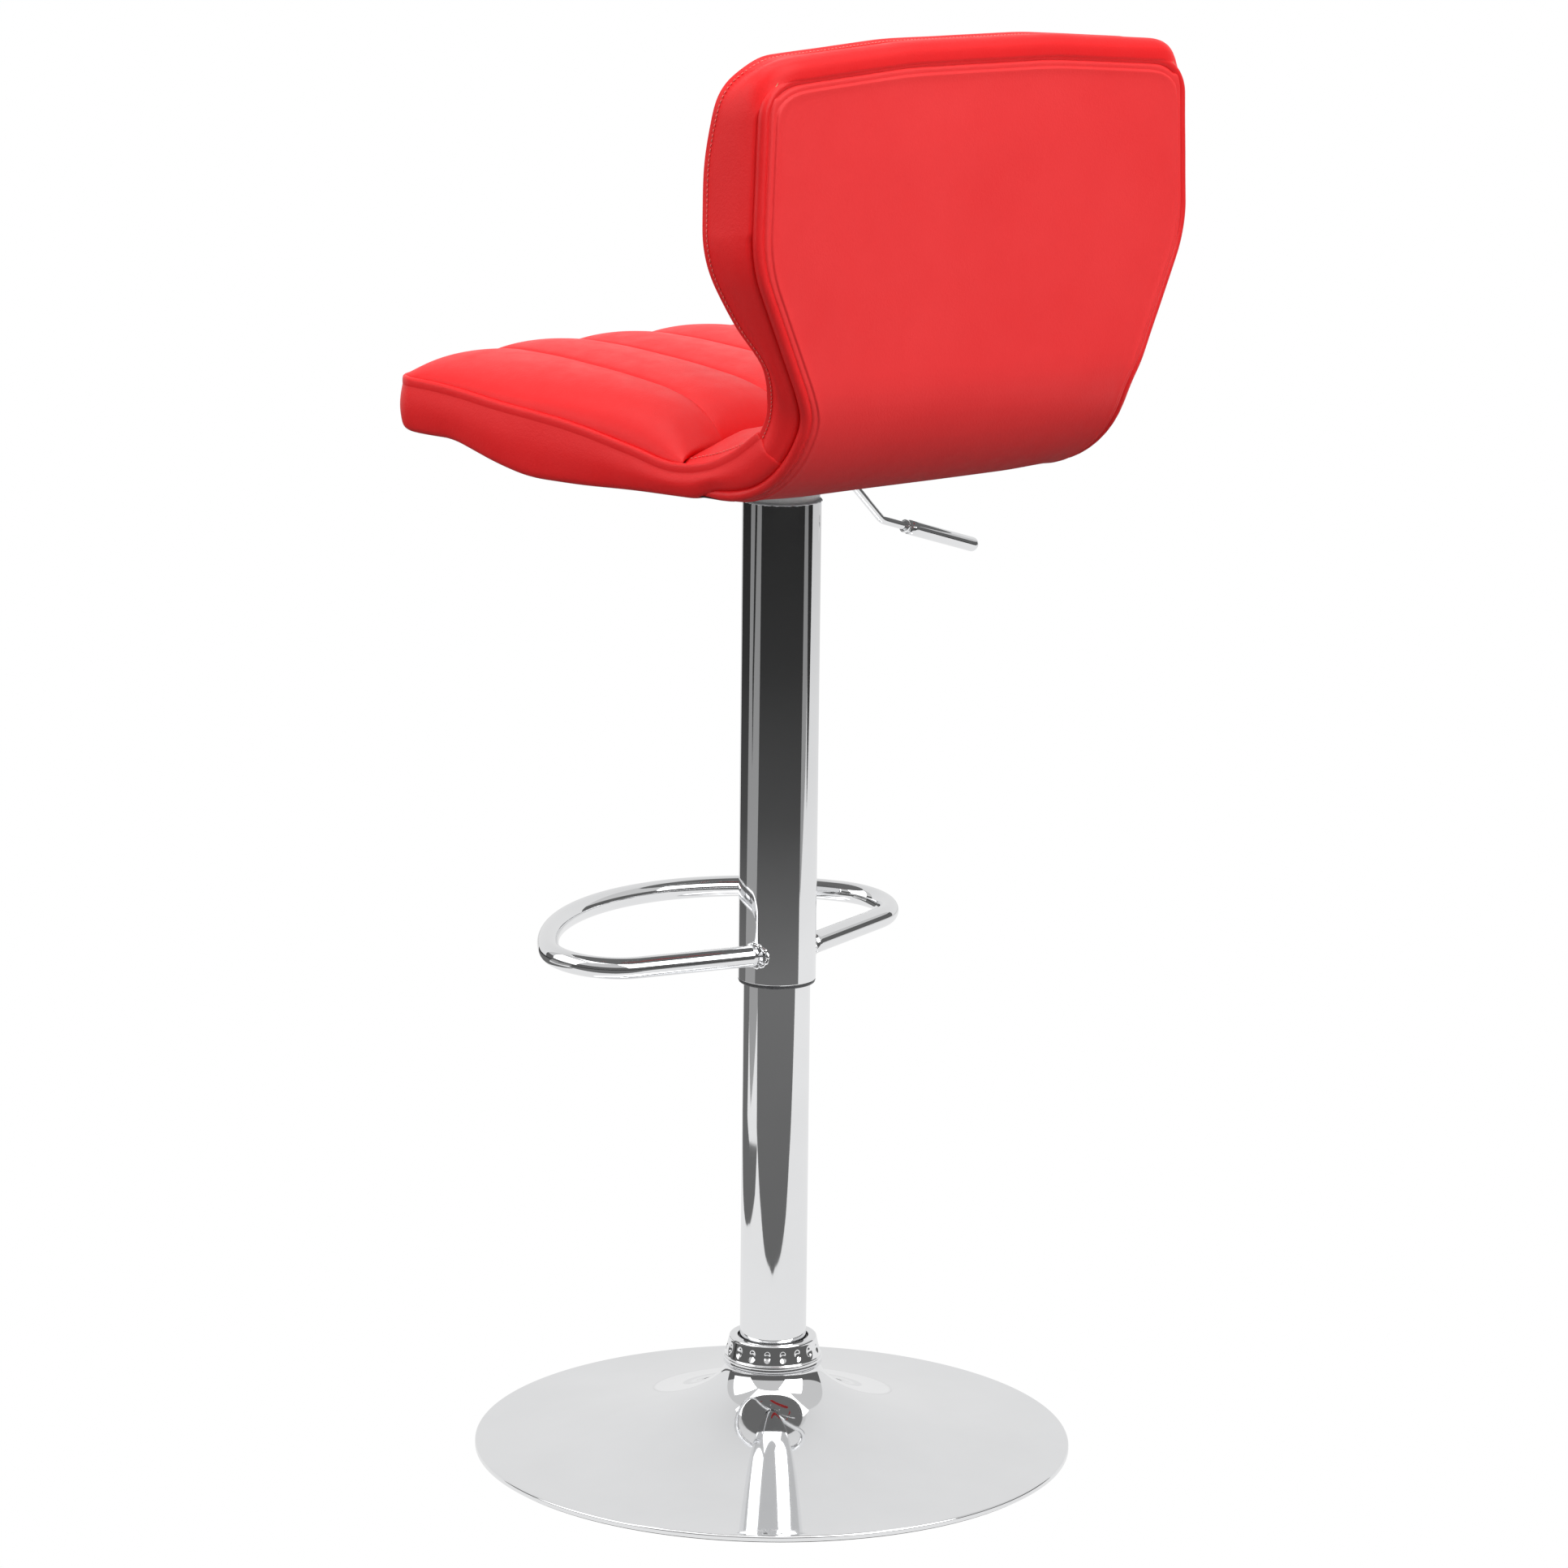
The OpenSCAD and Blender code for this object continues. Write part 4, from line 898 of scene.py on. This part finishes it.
def seat_side():
    """The seat's side strip. Its lower edge meets the piping further back than its seam does."""
    right = seat_outline[seat_outline[:, 1] < SEAT_STRIP_END]
    joint = np.array([[seat_half(SEAT_STRIP_END), SEAT_STRIP_END]])
    path = mirrored(resampled(np.concatenate([right, joint])[::-1], 170))
    side = np.sign(path[:, 0] + 1e-9)
    lower_y = path[:, 1] + 20 * MM * ease(path[:, 1], 60 * MM, SEAT_STRIP_END)
    lower_x = np.where(np.abs(path[:, 1] - lower_y) > 1e-6, side * seat_half(lower_y), path[:, 0])
    depth = WELT_D * ease(lower_y, 84 * MM, 112 * MM)
    lower_z = np.array([under_z(y, d) for y, d in zip(lower_y, depth)])
    lower_z += 0.9 * MM * ripples(lower_y, path[:, 0], 0.06, 5) * (1 - depth / WELT_D)
    start = np.column_stack([path, seat_seam_z(path[:, 1])])
    end = np.column_stack([lower_x, lower_y, lower_z])
    normals = np.column_stack([-flat_normals(path), np.zeros(len(path))])
    tuck = [(4.5, -0.1), (2.6, 0.7), (1.0, 2.2), (0.0, 4.6), (-0.2, 9.0), (-0.4, 15.0)]
    bulge = np.full(len(path), 1.6 * MM)
    return band("seat_side_strip", start, end, normals, tuck, bulge, "seat_band"), normals


def back_side():
    """The back's side strip, which rolls over the top: its rear edge lies behind and inside the outline."""
    upper = back_outline[back_outline[:, 1] > BACK_STRIP_START]
    path = resampled(np.concatenate([[[back_half(BACK_STRIP_START), BACK_STRIP_START]], upper]), 230)
    is_side = np.arange(len(path)) < np.argmax(path[:, 0] + path[:, 1])
    front_z = path[:, 1] + 20 * MM * (1 - ease(path[:, 1], UNDER_Z + 40 * MM, UNDER_Z + 120 * MM))
    front_x = np.where(is_side, back_half(front_z), path[:, 0])
    right_front = np.column_stack([front_x, back_seam_y(front_z), front_z])
    flat = flat_normals(path)
    flat[-1] = (0, 1)
    up = np.clip(flat[:, 1], 0, 1) ** 2
    rear = path - flat * (pulled(flat[:, 1]) - 1.5 * MM + 5 * MM * up**0.35)[:, None]
    right_rear = np.column_stack([rear[:, 0], groove_y(rear[:, 1]) + 8 * MM * up**0.25, rear[:, 1]])
    normals = np.column_stack([flat[:, 0], 0.45 * up, flat[:, 1]])
    normals /= np.linalg.norm(normals, axis=1)[:, None]
    start, end, normals = mirrored(right_front), mirrored(right_rear), mirrored(normals)
    rise = np.clip(normals[:, 2], 0, 1) ** 2
    bulge = (2.4 + 7.0 * rise + 12.0 * rise * (1 - rise)) * MM
    tuck = [(4.5, -0.1), (2.4, 0.3), (0.9, 1.6), (0.1, 3.4), (0.0, 6.0)]
    return band("back_side_strip", start, end, normals, tuck, bulge, "back_band"), normals


def welt():
    """The piping: from under the seat, round the bend, and round the back's outline."""
    inset = WELT_R + 0.2 * MM
    bend = face_line(inset, 400)
    bend = resampled(bend[(bend[:, 0] > 88 * MM) & (bend[:, 1] < BEND_TOP)], 40)
    lower = np.column_stack([np.full(len(bend), WAIST_HALF - inset), bend])
    lower[:, 0] -= 2 * MM * ease(bend[:, 0], 120 * MM, 150 * MM)
    rise = back_outline[back_outline[:, 1] > BEND_TOP + 1 * MM]
    flat = flat_normals(rise)
    flat[-1] = (0, 1)
    inner = resampled(rise - flat * (inset + pulled(flat[:, 1]))[:, None], 190)
    inner[-1, 0] = 0
    upper = np.column_stack([inner[:, 0], groove_y(inner[:, 1], inset), inner[:, 1]])
    line = mirrored(np.concatenate([lower, upper]))
    size = WELT_R * (1 + 0.03 * ripples(line[:, 0] + line[:, 1], line[:, 2], 0.05, 2))
    new_object("piping_cord", *swept(line, size, 20, (1, 0, 0)), "seat", "red_vinyl", ["piping"], piping_look)


# Distances from the rear panel's edge at which it has a line of points, close together where it is folded
EDGE_STEPS = np.array([0, 0.5, 1.0, 1.6, 2.3, 3.4, 4.6, 5.4, 5.9, 6.3, 6.8, 7.6, 9, 11.5, 15, 20, 27, 36]) * MM


def hem_profile(e):
    """Height of the rear panel's skin at a distance e from its edge: stitched groove, hem, raised fold."""
    groove = -1.7 * MM * (1 - ease(e, 0.4 * MM, 2.4 * MM))
    hem = 0.2 * MM * ease(e, 2 * MM, 3.5 * MM) * (1 - ease(e, 4.4 * MM, 5.4 * MM))
    fold = 1.3 * MM * ease(e, 5.5 * MM, 6.6 * MM) - 0.45 * MM * ease(e, 7 * MM, 11 * MM)
    return groove + hem + fold + 1.5 * MM * ease(e, 8 * MM, 60 * MM)


def rear_panel():
    """The vinyl over the shell's rear: a grid inside the piping, from under the seat to the back's top."""
    inset, border = WELT_D - 2.0 * MM, EDGE_STEPS[-1]
    line = face_line(0.0, 600)
    along = lengths(line)
    first = along[np.argmax(line[:, 0] > 86 * MM)]
    side_inset, top_inset = inset + pulled(0), inset + pulled(1)
    corner_x, corner_z = back_outline[back_corner] - np.array([side_inset, top_inset]) * 0.71
    last = along[np.argmax(line[:, 1] > corner_z)]
    at = np.concatenate([np.linspace(first, last - border, 84)[:-1], (last - EDGE_STEPS)[::-1]])
    centre = points_at(line, along, at)
    slope = np.gradient(line, axis=0)
    slope /= np.linalg.norm(slope, axis=1)[:, None]
    facing = points_at(np.stack([slope[:, 1], -slope[:, 0]], 1), along, at)
    on_back = centre[:, 1] > UNDER_Z + BEND_R / 2
    side_x = np.where(on_back, back_half(centre[:, 1]), WAIST_HALF) - side_inset
    side_x[-1] = min(side_x[-1], corner_x)
    inner = np.linspace(-1, 1, 26)[1:-1]
    rows, cols = len(at), 2 * len(EDGE_STEPS) + len(inner)
    grid = np.zeros((rows, cols, 3))
    for k, edge in enumerate(side_x):
        y, z = centre[k]
        x = np.concatenate([-(edge - EDGE_STEPS), (edge - border) * inner, (edge - EDGE_STEPS)[::-1]])
        # Towards the top the rows bow up to the back's arched edge
        arch = back_top(np.minimum(np.abs(x), corner_x)) - top_inset - corner_z
        lift = arch * ease(z, UNDER_Z + 150 * MM, corner_z - border)
        grid[k] = np.column_stack([x, np.full(cols, y), z + lift])
    points = grid.reshape(-1, 3)
    top_x, top_z = grid[-1, cols // 2:, 0], grid[-1, cols // 2:, 2]
    side_gap = np.repeat(side_x, cols) - np.abs(points[:, 0]) + 1e-7
    top_gap = np.interp(np.abs(points[:, 0]), top_x, top_z) - points[:, 2] + 1e-7
    distance = side_gap * top_gap / np.hypot(side_gap, top_gap)
    normals = np.column_stack([np.zeros(rows), facing]).repeat(cols, axis=0)
    wave = 0.25 * MM * ripples(points[:, 0], points[:, 2], 0.16, 1) * ease(distance, 8 * MM, 40 * MM)
    points = points + normals * (hem_profile(distance) + wave)[:, None]
    piece = new_object("rear_skin", points, grid_faces(rows, cols, flip=True), "seat", "red_vinyl",
                       ["rear_cover"], rear_sheen_look)
    thicken(piece, 1.2 * MM)
    subdivide(piece)


def stitches(name, rows, pitch=3.4 * MM, length=2.3 * MM, radius=0.38 * MM):
    """Rows of short thread stitches, each along a line of points and its normals."""
    points, faces = [], []
    for line, normals in rows:
        along = lengths(line)
        for s in np.arange(pitch / 2, along[-1] - length, pitch):
            mid = points_at(line, along, s + length * np.array([0, 0.2, 0.5, 0.8, 1.0]))
            up = points_at(normals, along, [s])[0]
            mid += up * (radius * np.array([-1.0, 0.1, 0.5, 0.1, -1.0]))[:, None]
            size = radius * np.array([0.5, 1, 1, 1, 0.5])
            p, f = swept(mid, size, 6, up)
            start = len(points) * len(p)
            points.append(p)
            faces += [tuple(start + i for i in face) for face in f]
    new_object(name, np.concatenate(points), faces, "seat", "red_vinyl", look=thread_look)


def crease_line(rows, side):
    """A row of stitches up the back pad's foot, three columns in from its side seam."""
    up, count = np.array([0.3 * side, -0.75, 0.6]), 30
    line = rows[1:20, -4 if side > 0 else 3] + up * STITCH_OUT
    return resampled(line, count), np.tile(up, (count, 1))


def stitch_line(grid, normals):
    """A row of stitches along a side strip's seam."""
    k = [distance for distance, _ in SEAM_ROWS].index(STITCH_AT)
    return grid[:, k] + normals * STITCH_OUT, normals


(seat_piece, seat_free), (back_piece, back_free) = seat_pad(), back_pad()
inflate(seat_piece, seat_free)
inflate(back_piece, back_free)
for vertex in back_piece.data.vertices:
    vertex.co.z = min(vertex.co.z, back_top(vertex.co.x) - 1 * MM)
draw_in(seat_piece, SEAT_ROWS, 2, -1.1 * MM)
draw_in(back_piece, BACK_ROWS, 1, 1.1 * MM)
for pad in (seat_piece, back_piece):
    subdivide(pad)
seat_grid, seat_normals = seat_side()
back_grid, back_normals = back_side()
welt()
rear_panel()
crease = np.array([v.co for v in back_piece.data.vertices])[: BACK_ROWS * COLS].reshape(BACK_ROWS, COLS, 3)
stitches("band_stitches", [stitch_line(seat_grid, seat_normals), stitch_line(back_grid, back_normals),
                           crease_line(crease, 1), crease_line(crease, -1)])

# ---------------- stage, light and camera

CAMERA_AT = Vector((2.631, 2.802, 1.308))
CAMERA_SIDE = math.atan2(CAMERA_AT.y, CAMERA_AT.x)
FLOOR_HALF = 60.0
WALL_R, WALL_HIGH, WALL_SIDES = 30.0, 40.0, 64


def stage_mesh(name, points, faces, look):
    mesh = bpy.data.meshes.new(name)
    mesh.from_pydata(points, [], faces)
    mesh.materials.append(look)
    made = placed(name, mesh)
    return made


def glow(name, stops, reach=1.0):
    """A light of its own, from near the column, at 0, to reach metres away. One stop alone lights evenly."""
    look = Look(name)
    look.nodes.remove(look.shader)
    light = look.node("Emission")
    look.links.new(light.outputs["Emission"], look.nodes["Material Output"].inputs["Surface"])
    if len(stops) == 1:
        light.inputs["Color"].default_value = (*grey(stops[0][1]), 1.0)
        return look.material
    away = look.node("VectorMath")
    away.operation = "LENGTH"
    look.links.new(look.place, away.inputs[0])
    scaled = look.node("Math")
    scaled.operation = "DIVIDE"
    scaled.inputs[1].default_value = reach
    look.links.new(away.outputs["Value"], scaled.inputs[0])
    look.ramp(scaled.outputs[0], stops, light.inputs["Color"])
    return look.material


def seen_only_by(obj, ray):
    """Hide an object from every kind of ray but one."""
    for kind in ("camera", "diffuse", "glossy", "transmission", "shadow"):
        setattr(obj, "visible_" + kind, kind == ray)


def sector(name, radii, heights, starts, ends, look):
    """A piece of a ring round the column, between two bearings from the camera's, seen only in gloss: a painted
    reflection.
    """
    cols = 41
    points = [(r * math.cos(a), r * math.sin(a), z)
              for r, z, start, end in zip(radii, heights, starts, ends)
              for a in CAMERA_SIDE + np.radians(np.linspace(start, end, cols))]
    seen_only_by(stage_mesh(name, points, grid_faces(len(radii), cols), look), "glossy")


def floor(name, level, look):
    corners = [(x * FLOOR_HALF, y * FLOOR_HALF, level) for x, y in ((-1, -1), (1, -1), (1, 1), (-1, 1))]
    return stage_mesh(name, corners, [(0, 1, 2, 3)], look)


def paper():
    """The white floor and far wall that the camera sees. Nothing is lit by them."""
    white = glow("white_paper", [(0.0, 1.0)])
    around = np.arange(WALL_SIDES) * 2 * math.pi / WALL_SIDES
    wall = [(WALL_R * math.cos(a), WALL_R * math.sin(a), z) for z in (-1, WALL_HIGH) for a in around]
    for made in (floor("paper", 0.0, white),
                 stage_mesh("backdrop", wall, grid_faces(2, WALL_SIDES, close_cols=True), white)):
        seen_only_by(made, "camera")


def ground():
    """The floor that light bounces off, just under the one that is seen."""
    look = Look("studio_floor")
    look.ramp(look.noise(2.0), [(0.3, 0.18), (0.7, 0.20)], "Base Color")
    look.shader.inputs["Roughness"].default_value = 0.9
    look.shader.inputs["Specular IOR Level"].default_value = 0.1
    floor("ground", -1 * MM, look.material).visible_camera = False


def reflections():
    """Painted reflections for the chrome: glowing sheets seen only in gloss, which show a bright floor, dark
    and dim stretches on it, and walls, as of a room.
    """
    bright = glow("glow_painted_reflection_bright", [(0.0, 0.84), (0.35, 0.86), (1.0, 0.62)], 4.5)
    dark = glow("glow_painted_reflection_dark", [(0.1, 0.14), (0.3, 0.16), (0.45, 0.07), (0.65, 0.035), (1.0, 0.018)], 5.0)
    dim = glow("glow_painted_reflection_dim", [(0.0, 0.4), (0.4, 0.33), (1.0, 0.22)], 5.0)
    room = glow("glow_painted_reflection_room", [(0.5, 0.16), (1.0, 0.12)], 5.4)
    pale = glow("glow_painted_reflection_pale", [(0.45, 0.80), (1.0, 0.70)], 13.0)
    # Every sheet below glows and is seen only in gloss. These are painted reflections, not lamps.
    sector("painted_reflection_bright_floor", [0.0, 9.0], [0.0, 0.0], [-180, -180], [180, 180], bright)
    for name, height, look, radii, starts, ends in (
        ("painted_reflection_dark_floor", 4 * MM, dark, [0.47, 0.49, 0.526, 0.64, 0.82, 0.92, 1.42, 2.4, 5.2],
         [-6, -14, -30, -45, -60, -66, -68, -62, -60], [-2, 5, 23, 40, 50, 55, 66, 68, 72]),
        ("painted_reflection_dark_left", 4 * MM, dark, [0.60, 0.70, 0.86, 0.95, 5.2],
         [-98, -140, -151, -154, -152], [-92, -70, -64, -112, -100]),
        ("painted_reflection_dim_left", 2 * MM, dim, [1.0, 1.5, 5.2], [-95, -112, -112], [-94, -64, -58]),
        ("painted_reflection_dark_line", 4 * MM, dark, [2.6, 3.2, 5.2], [-86, -88, -82], [-85, -82, -74]),
        ("painted_reflection_dim_right", 2 * MM, dim, [1.9, 2.6, 5.2], [67, 66, 70], [70, 84, 92]),
        ("painted_reflection_dark_right", 4 * MM, dark, [2.35, 2.9, 5.2], [90, 88, 84], [91, 97, 104]),
        # A dark glowing disc just under the seat, seen only in gloss, paints shade into the reflections of the
        # seat's underside.
        ("painted_shade_reflection_under_seat", UNDER_Z - 1.5 * MM, dark, [0.03, 0.30], [-180, -180], [180, 180]),
    ):
        sector(name, radii, [height] * len(radii), starts, ends, look)
    # A dark ring wall and a pale far wall, glowing and seen only in gloss: painted reflections of a room.
    sector("room", [5.4, 5.4], [0.0, 2.3], [-118, -118], [128, 128], room)
    sector("painted_reflection_far_wall", [6.0, 6.0], [0.0, 12.0], [128, 128], [242, 242], pale)


def light():
    """An even white sky and three large softboxes: one on each side of the camera, and one overhead."""
    world = bpy.data.worlds.new("studio")
    scene.world = world
    world.use_nodes = True
    world.node_tree.nodes["Background"].inputs["Color"].default_value = (1, 1, 1, 1)
    world.node_tree.nodes["Background"].inputs["Strength"].default_value = 0.60
    for turn, out, height, power in ((52, 3.0, 2.6, 84), (-75, 3.0, 2.2, 40), (0, 0.3, 3.4, 52)):
        data = bpy.data.lights.new("softbox", "AREA")
        data.shape, data.size, data.size_y, data.energy = "RECTANGLE", 3.0, 3.0, power
        a = CAMERA_SIDE + math.radians(turn)
        box = placed("softbox", data)
        box.location = (out * math.cos(a), out * math.sin(a), height)
        box.rotation_mode = "QUATERNION"
        box.rotation_quaternion = (Vector((0, 0, 0.75)) - box.location).to_track_quat("-Z", "Y")


def camera():
    """A long lens that looks along its heading and down by its pitch, with the horizon a little tilted."""
    data = bpy.data.cameras.new("camera")
    data.lens, data.sensor_width = 121.8, 36.0
    data.clip_end = 200
    heading, pitch, tilt = (math.radians(angle) for angle in (136.746, 11.727, 0.631))
    turn = Matrix.Rotation(heading, 4, "Z") @ Matrix.Rotation(math.pi / 2 - pitch, 4, "X")
    made = placed("camera", data)
    made.matrix_world = Matrix.Translation(CAMERA_AT) @ turn @ Matrix.Rotation(tilt, 4, "Z")
    bpy.context.scene.camera = made


paper()
ground()
reflections()
light()
camera()
scene.view_settings.view_transform = "Standard"
